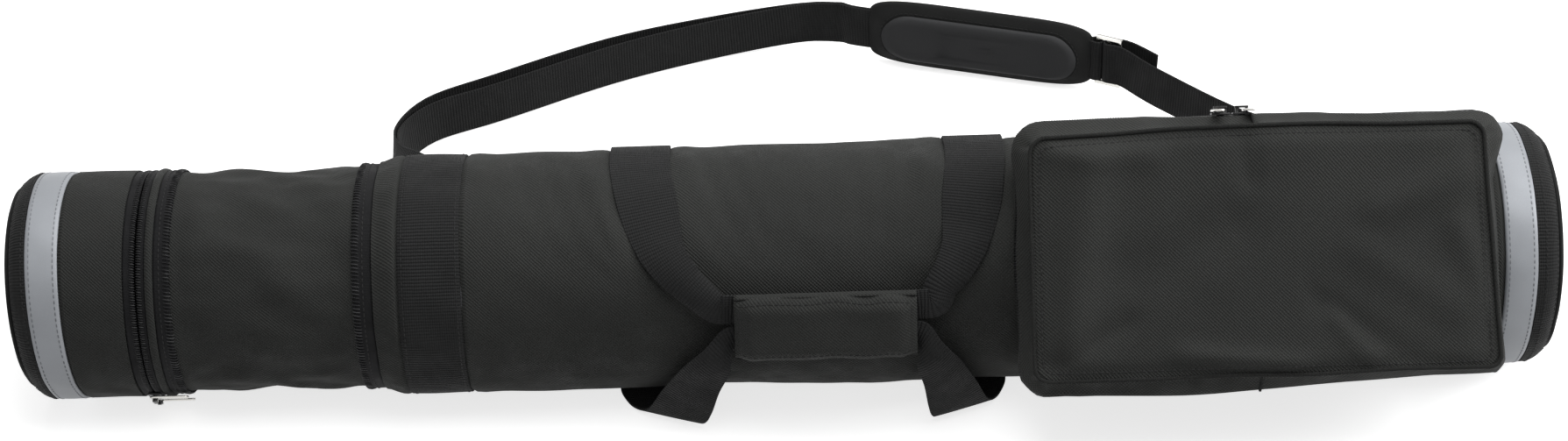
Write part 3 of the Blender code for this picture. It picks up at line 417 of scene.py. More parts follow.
def woven_material(name, shade, faded_and_highlight, weave, pitch, depth, sheen):
    """Cloth: a weave on the piece's own cloth map, with fading over it and a painted highlight on the weave's raised
    yarn.
    """
    made, w, shader, spots = blank(name)
    cloth = place_group(w, weave, Cloth=spots["UV"], Pitch=pitch)
    # The paler colour serves both the fading and the painted highlight on the weave's ridges; the weave's height feeds
    # that painted highlight.
    wear_and_highlight = place_group(w, "wear_and_highlight", Place=spots["Object"], Colour=(*shade, 1.0), Faded=(*faded_and_highlight, 1.0),
                       Yarn=cloth["Yarn"], Weave=cloth["Height"])
    w.feed(shader.inputs["Base Color"], wear_and_highlight["Colour"])
    w.feed(shader.inputs["Roughness"], wear_and_highlight["Roughness"])
    shader.inputs["Sheen Weight"].default_value = sheen
    shader.inputs["Sheen Roughness"].default_value = 0.45
    shader.inputs["Specular IOR Level"].default_value = 0.10
    relief(w, shader, cloth["Height"], depth)
    return made


def grained_material(name, shade, grain, depth, rough, metallic=0.0, contrast=0.35):
    """A solid surface with fine grain and slightly uneven colour."""
    made, w, shader, spots = blank(name)
    fine = place_group(w, "grain", Place=spots["Object"], Grain=grain)
    dark = tuple(c * (1.0 - contrast) for c in shade)
    light = tuple(min(1.0, c * (1.0 + contrast)) for c in shade)
    share = w.spread(fine["Shade"], 0.3, 0.7)
    w.feed(shader.inputs["Base Color"], w.mix(share, (*dark, 1.0), (*light, 1.0)))
    w.feed(shader.inputs["Roughness"], w.spread(fine["Shade"], 0.3, 0.7, rough * 0.85, rough * 1.15))
    shader.inputs["Metallic"].default_value = metallic
    shader.inputs["Specular IOR Level"].default_value = 0.5 if metallic else 0.25
    relief(w, shader, fine["Height"], depth)
    return made


FINISHES = {}


def finish(name):
    """A material by its plain name, built the first time it is asked for."""
    if name in FINISHES:
        return FINISHES[name]
    c = sizes("case_cloth")
    # The lighter webbing colour is the rubbed webbing and also the painted highlight on its raised ribs.
    lighter = tuple(v * 1.9 for v in c.webbing)
    makers = {
        "nylon": lambda: woven_material("black nylon", c.nylon, c.faded_and_highlight, "twill", c.weave_pitch, 0.00048, 0.03),
        "binding": lambda: woven_material("binding tape", c.webbing, c.nylon, "twill", 0.0011, 0.00016, 0.03),
        "webbing": lambda: woven_material("ribbed webbing", c.webbing, lighter, "rib", c.rib_pitch, 0.00050, 0.03),
        "tape": lambda: woven_material("zip tape", c.coil, c.webbing, "rib", 0.0010, 0.00012, 0.03),
        "lining": lambda: woven_material("lining cloth", c.lining, c.faded_and_highlight, "twill", 0.0008, 0.00010, 0.03),
        "hook": lambda: grained_material("hook tape", c.coil, 1500.0, 0.0009, 0.75),
        "reflective": lambda: grained_material("reflective tape", c.reflective, 2200.0, 0.00006, 0.46, 0.15, 0.10),
        "coil": lambda: grained_material("nylon coil", c.coil, 700.0, 0.00005, 0.38),
        "thread": lambda: grained_material("thread", c.thread, 3000.0, 0.00010, 0.70),
        "pale thread": lambda: grained_material("pale thread", c.pale_thread, 3000.0, 0.00010, 0.70),
        "rubber": lambda: grained_material("non-slip rubber", c.rubber, 1300.0, 0.00025, 0.85, 0.0, 0.22),
        "nickel": lambda: grained_material("nickel plate", c.nickel, 500.0, 0.00003, 0.24, 1.0, 0.12),
        "slider": lambda: grained_material("coated slider", c.slider, 900.0, 0.00004, 0.36, 0.4),
        "foam": lambda: grained_material("cut foam", c.foam, 900.0, 0.0005, 0.95),
        "board": lambda: grained_material("end board", c.board, 400.0, 0.0002, 0.85),
    }
    FINISHES[name] = makers[name]()
    return FINISHES[name]


# Making pieces

def piece(name, bm, look, body=None, nodes=(), angle=50.0, thick=None):
    """Turn a bmesh into a named piece with its finish, body and CAD nodes."""
    mesh = bpy.data.meshes.new(name)
    bm.to_mesh(mesh)
    bm.free()
    mesh.shade_smooth()
    mesh.set_sharp_from_angle(angle=math.radians(angle))
    item = bpy.data.objects.new(name, mesh)
    bpy.context.scene.collection.objects.link(item)
    mesh.materials.append(finish(look))
    if thick:
        wall = item.modifiers.new("cloth thickness", "SOLIDIFY")
        wall.thickness = thick
        wall.offset = -1.0
    if body:
        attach(item, body)
    if nodes:
        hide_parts(*nodes)
    return item


def wire(points, radius, cyclic=False, roundness=1):
    """A bmesh of a round wire along points, made from a bevelled curve."""
    line = bpy.data.curves.new("wire", "CURVE")
    line.dimensions = "3D"
    line.bevel_depth = radius
    line.bevel_resolution = roundness
    line.use_fill_caps = True
    run = line.splines.new("POLY")
    run.points.add(len(points) - 1)
    for spot, p in zip(run.points, points):
        spot.co = (*p, 1.0)
    run.use_cyclic_u = cyclic
    holder = bpy.data.objects.new("wire", line)
    bpy.context.scene.collection.objects.link(holder)
    seen = holder.evaluated_get(bpy.context.evaluated_depsgraph_get())
    bm = bmesh.new()
    bm.from_mesh(seen.to_mesh())
    bpy.data.objects.remove(holder)
    bpy.data.curves.remove(line)
    bmesh.ops.remove_doubles(bm, verts=bm.verts, dist=1e-7)
    bmesh.ops.recalc_face_normals(bm, faces=bm.faces)
    return bm


def join(parts):
    """Several bmeshes as one."""
    whole = bmesh.new()
    for bm in parts:
        mesh = bpy.data.meshes.new("part")
        bm.to_mesh(mesh)
        bm.free()
        whole.from_mesh(mesh)
        bpy.data.meshes.remove(mesh)
    return whole


def cap(bm):
    """Close every open end."""
    bmesh.ops.holes_fill(bm, edges=[e for e in bm.edges if e.is_boundary], sides=0)
    bmesh.ops.recalc_face_normals(bm, faces=bm.faces)


def woven(columns, rows, place, cloth, round_columns=False, round_rows=False, capped=False):
    """A grid of cloth. place(i, j) puts each crossing, and cloth(i, j) is its spot on the flat cloth."""
    bm = bmesh.new()
    bmesh.ops.create_grid(bm, x_segments=columns, y_segments=rows, size=1.0)
    uv = bm.loops.layers.uv.new("UVMap")
    spots = {v: (round((v.co.x + 1) / 2 * columns), round((v.co.y + 1) / 2 * rows)) for v in bm.verts}
    for face in bm.faces:
        for loop in face.loops:
            loop[uv].uv = cloth(*spots[loop.vert])
    for v, (i, j) in spots.items():
        v.co = place(i % columns if round_columns else i, j % rows if round_rows else j)
    bmesh.ops.remove_doubles(bm, verts=bm.verts, dist=2e-6)
    if capped:
        cap(bm)
    bmesh.ops.recalc_face_normals(bm, faces=bm.faces)
    return bm


def stitches(name, places, body, look="thread"):
    """Sewn stitches as small threads. Each place is a middle, the sewing direction and the outward side."""
    s = sizes("case_webbing")
    shape = Matrix.Diagonal((s.thread * 1.3, s.thread, s.stitch / 2, 1.0))
    batches = []
    for start in range(0, len(places), 12):
        bm = bmesh.new()
        for middle, along, out in places[start:start + 12]:
            across = along.cross(out).normalized()
            turn = Matrix((across, out.normalized(), along.normalized())).transposed().to_4x4()
            bmesh.ops.create_uvsphere(bm, u_segments=6, v_segments=4, radius=1.0,
                                      matrix=Matrix.Translation(middle) @ turn @ shape)
        batches.append(bm)
    return piece(name, join(batches), look, body)


def seam(points, outs, lift, closed=False):
    """Stitch places along a line of points, each lifted along its outward side."""
    s = sizes("case_webbing")
    pitch = s.stitch + s.stitch_gap
    places, carried = [], pitch / 2
    ring = points + points[:1] if closed else points
    sides = outs + outs[:1] if closed else outs
    for a, b, oa, ob in zip(ring, ring[1:], sides, sides[1:]):
        run = (b - a).length
        while carried < run:
            share = carried / run
            out = (oa * (1 - share) + ob * share).normalized()
            places.append((a.lerp(b, share) + out * lift, (b - a).normalized(), out))
            carried += pitch
        carried -= run
    return places


# Round the tube

LEG_TURNS = (99.0, 88.0, 77.0, 66.0, 55.0, 44.0, 34.0, 27.0)
LEG_DRIFT = (0.0, 0.02, 0.06, 0.11, 0.17, 0.26, 0.44, 0.62)


def leg_x(side, turn):
    """Where the middle of a handle leg crosses the wall at a turn."""
    drift = LEG_DRIFT[-1]
    for k in range(len(LEG_TURNS) - 1):
        if turn >= LEG_TURNS[k + 1]:
            share = max(0.0, (LEG_TURNS[k] - turn) / (LEG_TURNS[k] - LEG_TURNS[k + 1]))
            drift = LEG_DRIFT[k] + (LEG_DRIFT[k + 1] - LEG_DRIFT[k]) * share
            break
    return HANDLE_MID[side] + (GRIP_X[side] - HANDLE_MID[side]) * drift


def drape(x, turn):
    """How far the soft wall stands out at a place on the tube."""
    t = sizes("case_tube")
    around = Vector((x * 9.0, 1.5 * cos(turn), 1.5 * sin(turn)))
    lean = Vector((x * 24.0 + 1.6 * sin(turn), 3.4 * cos(turn + 260.0 * x), 3.4 * sin(turn + 260.0 * x)))
    swell = noise.noise(around) + 0.55 * noise.noise(lean + Vector((7.0, 0.0, 0.0)))
    if x < SHELL_X:
        return 0.45 * t.softness * swell
    deep = t.softness * swell
    turn = turn % 360.0
    if turn > 296.0 or turn < 20.0:
        return deep
    sewn = ease(turn, 97.0, 113.0)
    for side in (0, 1):
        off = x - leg_x(side, turn)
        if abs(off) > 0.16:
            continue
        loose = ease(turn, 24.0, 52.0) * (1.0 - sewn)
        fold = 0.7 * math.sin(off * 330.0 + turn * 0.09) * hump(off, 0.08) * ease(abs(off), 0.022, 0.045)
        drawn = fold - hump(off, 0.022) + 0.9 * hump(abs(off) - 0.033, 0.010)
        inside = ease(0.0235 - abs(off), 0.0, 0.003)
        deep += t.pinch * loose * drawn
        deep += sewn * (0.6 * t.pinch * hump(abs(off) - 0.031, 0.008) - t.seat * inside)
    return deep


def sag_at(x):
    return SAG * ease(x, SHELL_X, SHELL_X + 0.0164)


def on_tube(x, r, turn, soft=1.0, shape=drape):
    """A point round the tube, with the wall's softness, flattened where it lies on the floor."""
    r += soft * shape(x, turn) if soft else 0.0
    floor = -(min(r, TUBE_R) - sag_at(x))
    z = soft_floor(r * sin(turn), floor, 0.006)
    lean = sizes("case_tube").lean * ease(LID_WALL - x, 0.0, 0.08)
    return Vector((x + lean * (END_R - z) / (2.0 * END_R), -r * cos(turn), AXIS_Z + z))


def outward(turn):
    return Vector((0.0, -cos(turn), sin(turn)))


def turned(profile, segments=144, arc=None, closed=True, soft=1.0, shape=drape):
    """Spin an (x, r) profile round the tube, map its cloth in metres, then let it settle."""
    bm = bmesh.new()
    start, sweep = (arc[0], arc[1] - arc[0]) if arc else (0.0, 360.0)
    verts = [bm.verts.new((x, -r * cos(start), r * sin(start))) for x, r in profile]
    pairs = list(zip(verts, verts[1:])) + ([(verts[-1], verts[0])] if closed else [])
    edges = [bm.edges.new(pair) for pair in pairs]
    bmesh.ops.spin(bm, geom=verts + edges, cent=(0.0, 0.0, 0.0), axis=(-1.0, 0.0, 0.0), dvec=(0.0, 0.0, 0.0),
                   angle=math.radians(sweep), steps=segments, use_merge=arc is None, use_duplicate=False)
    bmesh.ops.remove_doubles(bm, verts=bm.verts, dist=1e-6)
    if arc and closed:
        cap(bm)
    bmesh.ops.recalc_face_normals(bm, faces=bm.faces)
    uv = bm.loops.layers.uv.new("UVMap")
    for face in bm.faces:
        turns = [math.atan2(loop.vert.co.z, -loop.vert.co.y) for loop in face.loops]
        wraps = max(turns) - min(turns) > math.pi
        for loop, turn in zip(face.loops, turns):
            reach = math.hypot(loop.vert.co.y, loop.vert.co.z)
            flat = abs(face.normal.x) > 0.9
            if flat:
                loop[uv].uv = (loop.vert.co.y, loop.vert.co.z)
            else:
                turn = turn + math.tau if wraps and turn < 0.0 else turn
                loop[uv].uv = (loop.vert.co.x + TUBE_R - reach, turn * TUBE_R)
    for v in bm.verts:
        turn = math.degrees(math.atan2(v.co.z, -v.co.y))
        v.co = on_tube(v.co.x, math.hypot(v.co.y, v.co.z), turn, soft, shape)
    return bm


def strip(x0, x1, low, high, bow=0.0, rows=8, round_off=0.0006):
    """The closed section of a band of tape: flat below, slightly bowed above, with eased edges."""
    outer = [(x, high + bow * math.sin(math.pi * (x - x0) / (x1 - x0))) for x in steps(x0 + round_off, x1 - round_off, rows)]
    return [(x0, low), (x0, high - round_off)] + outer + [(x1, high - round_off), (x1, low)]


def hoop_line(x, r, arc=None, count=180, soft=1.0):
    """Points and outward sides on a line of stitching round the tube."""
    turns = steps(*arc, count) if arc else steps(0.0, 360.0, count)[:-1]
    return [on_tube(x, r, a, soft) for a in turns], [outward(a) for a in turns]


# Main tube

def shell_r(x):
    """The main tube's radius: flared from the zip, and drawn in under each sewn band."""
    t = sizes("case_tube")
    r = END_R + (TUBE_R - END_R) * ease(x, SHELL_X, SHELL_X + 0.0175)
    for low, high in (BAND_X, (TAPE_X[0], 1.0)):
        r -= t.seat * ease(x, low - 0.0032, low - 0.0004) * ease(-x, -high - 0.0032, -high - 0.0004)
        r += 0.0006 * (hump(x - low + 0.010, 0.006) + hump(x - high - 0.010, 0.006))
    return r


def gathered(x, turn):
    """The tube's softness, with small pleats in the strip beside the expansion zip."""
    t = sizes("case_tube")
    pleat = noise.noise(Vector((x * 30.0, 17.0 * cos(turn), 17.0 * sin(turn))))
    here = ease(x, SHELL_X, SHELL_X + 0.006) * ease(-x, -BAND_X[0] + 0.001, -BAND_X[0] + 0.007)
    return drape(x, turn) + t.gather * pleat * here


class CASE_OT_tube(bpy.types.Operator):
    """Sew the main tube: outer cloth, webbing band, silver tape and handle anchors"""
    bl_idname = "carry_case.tube"
    bl_label = "Main tube"

    def execute(self, context):
        t = sizes("case_tube")
        edges = [x + d for x in (*BAND_X, TAPE_X[0]) for d in (-0.0034, -0.0018, -0.0003, 0.0004, 0.0018, 0.0034)]
        edges += [x + d for pair in ANCHORS for x in pair for d in (-0.0028, -0.0008, 0.0012)]
        count = round((SHELL_END - SHELL_X) / t.step)
        rows = sorted(set(steps(SHELL_X, SHELL_X + 0.018, 8) + steps(SHELL_X, SHELL_END, count) + edges))
        rows = [x for x in rows if SHELL_X <= x <= SHELL_END]
        outer = [(x, shell_r(x)) for x in rows]
        inner = [(x, shell_r(x) - t.wall) for x in reversed(steps(SHELL_X, SHELL_END, 40))]
        piece("tube_cloth", turned(outer + inner, shape=gathered), "nylon", "case_tube", ["tube_shell"])
        seat = TUBE_R - t.seat + 0.0003
        for name, node, (x0, x1), look in (("webbing_hoop", "webbing_band", BAND_X, "webbing"),
                                           ("silver_tape_right", "reflective_band_right", TAPE_X, "reflective")):
            bm = turned(strip(x0, x1, seat, seat + t.band, 0.0005))
            piece(name, bm, look, "case_tube", [node])
            rows = [seam(*hoop_line(x, seat + t.band, soft=1.0), 0.0001, True) for x in (x0 + 0.003, x1 - 0.003)]
            stitches(name + "_stitching", rows[0] + rows[1], "case_tube", "thread" if look == "webbing" else "pale thread")
        for side, (x0, x1) in zip(SIDES, ANCHORS):
            bm = turned(strip(x0, x1, TUBE_R + 0.0003, TUBE_R + 0.0003 + t.band), 80, (100.0, 290.0))
            piece("handle_base_" + side, bm, "webbing", "case_tube", ["handle_anchor_" + side])
            arc = (101.0, 289.0)
            rows = [seam(*hoop_line(x, TUBE_R + t.band + 0.0003, arc, 110), 0.0001) for x in (x0 + 0.003, x1 - 0.003)]
            stitches("handle_base_%s_stitching" % side, rows[0] + rows[1], "case_tube")
        return {"FINISHED"}


# Lined inside

class CASE_OT_inside(bpy.types.Operator):
    """Fit the foam, the lining and the stiff end boards"""
    bl_idname = "carry_case.inside"
    bl_label = "Padding and lining"

    def execute(self, context):
        for node, name, look, body in (("tube_foam_liner", "tube_foam", "foam", "case_tube"),
                                       ("tube_lining", "tube_inner_cloth", "lining", "case_tube"),
                                       ("lid_foam_liner", "lid_foam", "foam", "end_lid")):
            (x0, x1), high = span(node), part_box(node)[1].y
            thick = {"tube_foam": 0.005, "tube_inner_cloth": 0.0008, "lid_foam": 0.005}[name]
            section = [(x, high) for x in steps(x0, x1, 24)] + [(x, high - thick) for x in steps(x1, x0, 24)]
            piece(name, turned(section, 96, soft=0.3), look, body, [node])
        for node, name, body in (("end_board_right", "stiff_board_right", "case_tube"),
                                 ("lid_end_board", "stiff_board_lid", "end_lid")):
            (x0, x1), high = span(node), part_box(node)[1].y
            ease_off = 0.0006
            section = [(x0, 0.0), (x0, high - ease_off), (x0 + ease_off, high), (x1 - ease_off, high),
                       (x1, high - ease_off), (x1, 0.0)]
            piece(name, turned(section, 96, closed=False, soft=0.0), "board", body, [node])
        return {"FINISHED"}


# Ends

def end_corner(end_x, radius, way, depth, turn):
    """A point on the rounded end, depth below its face."""
    reach = CORNER_R - depth
    return (end_x - way * CORNER_R + way * reach * sin(turn), radius - CORNER_R + reach * cos(turn))


def sewn_end(side, body, end_x, radius, way, tape_edge, nodes):
    """The end disc, the ribbed webbing over its edge and the bound rim, with two rows of stitching on the webbing."""
    t = sizes("case_tube")
    panel, edge, rim = nodes
    under = t.band + 0.0003
    face = [end_corner(end_x, radius, way, under, a) for a in steps(0.0, 90.0, 10)]
    rim_r = radius - CORNER_R
    dish = [(face[-1][0] - way * 0.0018 * ease(rim_r - r, 0.0, 0.02), r) for r in steps(rim_r * 0.97, 0.0, 14)]
    back = [(x - way * 0.0015, max(0.0, r - 0.0003)) for x, r in reversed(dish)]
    low = [end_corner(end_x, radius, way, under + 0.0015, a) for a in steps(90.0, 0.0, 10)]
    bm = turned(dish[::-1] + face[::-1] + low[::-1] + back[::-1], closed=False, soft=0.6)
    piece("end_disc_" + side, bm, "nylon", body, [panel])
    start = tape_edge + way * 0.0003
    top = [(start, radius)] + [end_corner(end_x, radius, way, 0.0, a) for a in steps(0.0, 60.0, 9)]
    low = [end_corner(end_x, radius, way, t.band, a) for a in steps(60.0, 0.0, 9)] + [(start, radius - t.band)]
    piece("edge_ribbing_" + side, turned(top + low, soft=0.8), "webbing", body, [edge])
    bead = 0.0019
    middle = end_corner(end_x, radius, way, t.band - bead, 76.0)
    ring = [(middle[0] + bead * cos(a), middle[1] + bead * sin(a)) for a in steps(0.0, 324.0, 9)]
    piece("bound_rim_" + side, turned(ring, 180, soft=0.8), "binding", body, [rim])
    lines = [end_corner(end_x, radius, way, 0.0, a) for a in (8.0, 52.0)]
    rows = [seam(*hoop_line(x, r, soft=0.8), 0.0001, True) for x, r in lines]
    stitches("edge_stitching_" + side, rows[0] + rows[1], body)


class CASE_OT_ends(bpy.types.Operator):
    """Close the tube with its end disc, edge webbing and bound rim"""
    bl_idname = "carry_case.ends"
    bl_label = "Plain end"

    def execute(self, context):
        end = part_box("edge_webbing_right")[1].x
        corner_end = end + CORNER_R * (1.0 - sin(60.0))
        sewn_end("right", "case_tube", corner_end, TUBE_R, 1, TAPE_X[1],
                 ("end_panel_right", "edge_webbing_right", "rim_binding_right"))
        return {"FINISHED"}


class CASE_OT_lid(bpy.types.Operator):
    """Sew the zip-off lid, the collar and the cloth hinge between them"""
    bl_idname = "carry_case.lid"
    bl_label = "Lid and collar"

    def execute(self, context):
        t = sizes("case_tube")
        seat = END_R - t.seat

        def wall_r(x):
            return END_R - t.seat * ease(-x, -LID_TAPE_X[1] - 0.003, -LID_TAPE_X[1] - 0.0004)

        rows = steps(LID_END, LID_WALL, 26) + [LID_TAPE_X[1] + d for d in (-0.0004, 0.001, 0.0022, 0.0034)]
        outer = [(x, wall_r(x)) for x in sorted(rows)]
        inner = [(x, wall_r(x) - t.wall) for x in reversed(sorted(rows)[::3])]
        piece("lid_cloth", turned(outer + inner), "nylon", "end_lid", ["lid_shell"])
        x0, x1 = LID_TAPE_X
        piece("silver_tape_lid", turned(strip(x0, x1, seat + 0.0003, seat + 0.0003 + t.band, 0.0004)),
              "reflective", "end_lid", ["lid_reflective_band"])
        rows = [seam(*hoop_line(x, END_R), 0.0001, True) for x in (x0 + 0.003, x1 - 0.003)]
        stitches("silver_tape_lid_stitching", rows[0] + rows[1], "end_lid", "pale thread")
        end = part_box("lid_edge_webbing")[0].x
        sewn_end("lid", "end_lid", end - CORNER_R * (1.0 - sin(60.0)), END_R, -1, LID_TAPE_X[0],
                 ("lid_end_panel", "lid_edge_webbing", "lid_rim_binding"))
        x0, x1 = COLLAR_X
        piece("collar_cloth", turned(strip(x0, x1, END_R - t.wall, END_R, 0.0009)), "nylon", "collar", ["collar_shell"])
        x0, x1 = span("lid_hinge_fabric")
        section = [(x, TAPE_R) for x in steps(x0, x1, 10)] + [(x, TAPE_R - 0.001) for x in steps(x1, x0, 10)]
        hinge = piece("lid_hinge_cloth", turned(section, 40, (142.0, 218.0)), "nylon", None, ["lid_hinge_fabric"])
        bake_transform(hinge)
        return {"FINISHED"}


# Zips

def coil_line(x, width, pitch, arc, soft):
    """The winding of a zip coil round the tube, as points."""
    deep = COIL_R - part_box("lid_zip_half_lid")[1].y + 0.0011
    middle_r = COIL_R - 0.0012
    turns = int(math.radians(arc[1] - arc[0]) * middle_r / pitch)
    points = []
    for k in range(turns * 8 + 1):
        wind = 45.0 * k
        turn = arc[0] + (arc[1] - arc[0]) * k / (turns * 8)
        points.append(on_tube(x + width / 2 * cos(wind), middle_r + 0.0011 * sin(wind), turn, soft))
    return points


class CASE_OT_zips(bpy.types.Operator):
    """Set the lid zip and the expansion zip: woven tapes with wound coils"""
    bl_idname = "carry_case.zips"
    bl_label = "Zips round the tube"

    def execute(self, context):
        z = sizes("case_zip")
        parts = (("lid_zip_half_lid", "end_lid", LID_ZIP, -1, 0.0038, z.pitch, LID_WALL + 0.0003, (-140.0, 140.0)),
                 ("lid_zip_half_collar", "collar", LID_ZIP, 1, 0.0038, z.pitch, COLLAR_X[0] - 0.0003, (-140.0, 140.0)),
                 ("extension_zip_half_left", "collar", COLLAR_ZIP, -1, 0.0054, z.big_pitch, COLLAR_X[1] + 0.0003, None),
                 ("extension_zip_half_right", "case_tube", TUBE_ZIP, 1, 0.0054, z.big_pitch, SHELL_X - 0.0003, None))
        for node, body, x, way, width, pitch, tape_x, arc in parts:
            near = x + way * 0.0006
            middle = near + way * width / 2
            low, high = sorted((near + way * 0.0008, tape_x))
            bm = turned(strip(low, high, TAPE_R - z.tape, TAPE_R), 120 if arc else 144, arc)
            tape = piece(node + "_tape", bm, "tape", body, [node])
            bm = wire(coil_line(middle, width, pitch, arc or (0.0, 360.0), 1.0), z.wire)
            piece(node + "_coil", bm, "coil", body)
            line = near + way * (width + 0.0024)
            if abs(tape_x - line) > 0.003:
                rows = seam(*hoop_line(line, TAPE_R, arc), 0.0001, arc is None)
                stitches(node + "_stitching", rows, body)
        return {"FINISHED"}


def folds(x, turn):
    """Soft folds of the unpadded sleeve, fading to its two sewn ends."""
    t = sizes("case_tube")
    here = ease(x, GUSSET_X[0] + 0.008, GUSSET_X[0] + 0.03) * ease(-x, -GUSSET_X[1] + 0.008, -GUSSET_X[1] + 0.03)
    lean = turn + 420.0 * (x - GUSSET_X[0])
    broad = noise.noise(Vector((x * 11.0, 2.1 * cos(lean), 2.1 * sin(lean))))
    fine = noise.noise(Vector((x * 34.0, 5.2 * cos(turn), 5.2 * sin(turn))))
    return drape(x, turn) + t.wrinkle * here * (broad + 0.4 * fine)


class CASE_OT_expansion(bpy.types.Operator):
    """Hang the soft expansion sleeve between the collar and the tube"""
    bl_idname = "carry_case.expansion"
    bl_label = "Expansion section"

    def execute(self, context):
        x0, x1 = GUSSET_X
        sewn = TAPE_R - 0.0013
        full = sewn - 0.0006
        rows = steps(x0, x1, 44)
        outer = [(x, sewn + (full - sewn) * ease(x, x0 + 0.010, x0 + 0.02) * ease(-x, -x1 + 0.010, -x1 + 0.02)) for x in rows]
        inner = [(x, r - 0.001) for x, r in reversed(outer)]
        sleeve = piece("expansion_sleeve", turned(outer + inner, shape=folds), "nylon", "case_tube", ["extension_gusset"])
        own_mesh(sleeve)
        return {"FINISHED"}


# Metal pieces keep their solids, with eased edges

class CASE_OT_metal(bpy.types.Operator):
    """Finish the zip sliders, pulls, strap rings and adjuster"""
    bl_idname = "carry_case.metal"
    bl_label = "Sliders, pulls and rings"

    def execute(self, context):
        places = ["lid_%s_upper", "lid_%s_lower", "extension_%s", "pocket_%s_left", "pocket_%s_right"]
        looks = {name % "slider": ("slider", 0.0005) for name in places}
        looks.update({name % "pull": ("nickel", 0.0004) for name in places})
        looks.update({"strap_ring_" + side: ("nickel", 0.0) for side in SIDES})
        looks["strap_adjuster"] = ("nickel", 0.0006)
        for node, (look, round_off) in looks.items():
            item = frame["nodes"][node]
            item.data.materials.clear()
            item.data.materials.append(finish(look))
            item.data.shade_smooth()
            weld = item.modifiers.new("weld", "WELD")
            weld.merge_threshold = 0.000001
            if round_off:
                bevel = item.modifiers.new("eased edges", "BEVEL")
                bevel.width = round_off
                bevel.segments = 3
                bevel.angle_limit = math.radians(40.0)
                bevel.harden_normals = True
            else:
                soften = item.modifiers.new("round wire", "SUBSURF")
                soften.levels = 2
                soften.render_levels = 2
        return {"FINISHED"}


# Pocket

def pocket_point(x, t, n):
    """x along the tube, t up the pocket's face and n out of it. The right wall tucks in under the front panel,
    and the lower right corner is drawn up a little."""
    tuck = POCKET_TUCK * (1.0 - 0.75 * ease(t, 0.045, 0.085))
    x -= tuck * ease(x, POCKET_RIGHT - 0.030, POCKET_RIGHT) * (1.0 - ease(n, *POCKET_DEPTH))
    x -= 0.0045 * ease(x, 0.33, 0.49) * t / 0.09
    t += 0.0075 * ease(x, 0.27, 0.46) * ease(-t, 0.078, 0.098) - 0.0020 * ease(x, 0.33, 0.50) * ease(t, 0.06, 0.09)
    t += POCKET_RISE * ease(t, 0.03, 0.084) * ease(n, *POCKET_DEPTH) * ease(x, 0.17, 0.30)
    edge_t = ease(abs(t), 0.070, 0.092) * math.copysign(1.0, t)
    edge_x = ease(abs(x - POCKET_MID), 0.140, 0.172) * math.copysign(1.0, x - POCKET_MID)
    t += (0.0013 if t > 0.0 else 0.0026) * edge_t * noise.noise(Vector((x * 15.0, 3.0 * edge_t, n * 24.0)))
    x += 0.0030 * edge_x * noise.noise(Vector((t * 17.0, 5.0 + 2.0 * edge_x, n * 30.0)))
    return Vector((x, 0.0, AXIS_Z)) + POCKET_UP * t + POCKET_OUT * n


def pocket_box(node):
    """A node's low and high (x, t, n) in the pocket's own frame."""
    middle = Vector((0.0, 0.0, AXIS_Z))
    spots = [v.co - middle for v in frame["nodes"][node].data.vertices]
    found = [(p.x, p.dot(POCKET_UP), p.dot(POCKET_OUT)) for p in spots]
    return [min(c) for c in zip(*found)], [max(c) for c in zip(*found)]


LONG, SHORT, BEND = 30, 16, 7
POCKET_TUCK = 0.015
POCKET_RISE = 0.005
POCKET_RIGHT = pocket_box("pocket_lid_gusset")[1][0]
POCKET_DEPTH = [corner[2] for corner in pocket_box("pocket_lid_gusset")]


def outline(left, right, low, high, radius):
    """A rounded rectangle as (x, t, outward x, outward t), anticlockwise from the lower left bend."""
    found = []
    for x, t, start, count in ((left + radius, low + radius, 180.0, LONG), (right - radius, low + radius, 270.0, SHORT),
                               (right - radius, high - radius, 0.0, LONG), (left + radius, high - radius, 90.0, SHORT)):
        found += [(x + radius * cos(a), t + radius * sin(a), cos(a), sin(a)) for a in steps(start, start + 90.0, BEND)]
        nx, nt = cos(start + 90.0), sin(start + 90.0)
        ends = {270.0: (right - radius, low), 360.0: (right, high - radius),
                90.0: (left + radius, high), 180.0: (left, low + radius)}
        here, there = found[-1][:2], ends[(start + 90.0) if start < 300.0 else 360.0] if start != 270.0 else (right, high - radius)
        for k in range(1, count):
            share = k / count
            found.append((here[0] + (there[0] - here[0]) * share, here[1] + (there[1] - here[1]) * share, nx, nt))
    return found


def outline_run(points):
    """The length along an outline at each of its points, and all the way round."""
    runs = [0.0]
    for a, b in zip(points, points[1:] + points[:1]):
        runs.append(runs[-1] + math.hypot(b[0] - a[0], b[1] - a[1]))
    return runs


def crease(x, t, n, scale):
    return noise.noise(Vector((x * scale, t * scale, n * scale)))


# Soft folds of the front panel: from and to (shares of its half width and half height), breadth and rise
PANEL_FOLDS = (((-0.74, 0.75), (-0.84, -0.70), 0.014, 0.0046), ((-0.98, -0.95), (-0.60, -0.52), 0.008, -0.0026),
               ((0.42, 0.02), (0.84, -0.50), 0.013, 0.0020), ((0.24, -0.40), (0.60, -0.90), 0.010, -0.0018),
               ((-0.08, 0.95), (-0.05, 0.60), 0.006, -0.0024), ((-0.90, 0.88), (-0.48, 0.80), 0.009, 0.0022),
               ((-0.36, -0.80), (0.14, -0.93), 0.007, 0.0030), ((0.50, 0.35), (0.95, 0.62), 0.012, 0.0030),
               ((0.86, 0.20), (0.97, -0.45), 0.010, 0.0026), ((0.30, -0.55), (0.44, -0.86), 0.006, 0.0022),
               ((-0.55, -0.15), (-0.15, 0.25), 0.020, -0.0026))


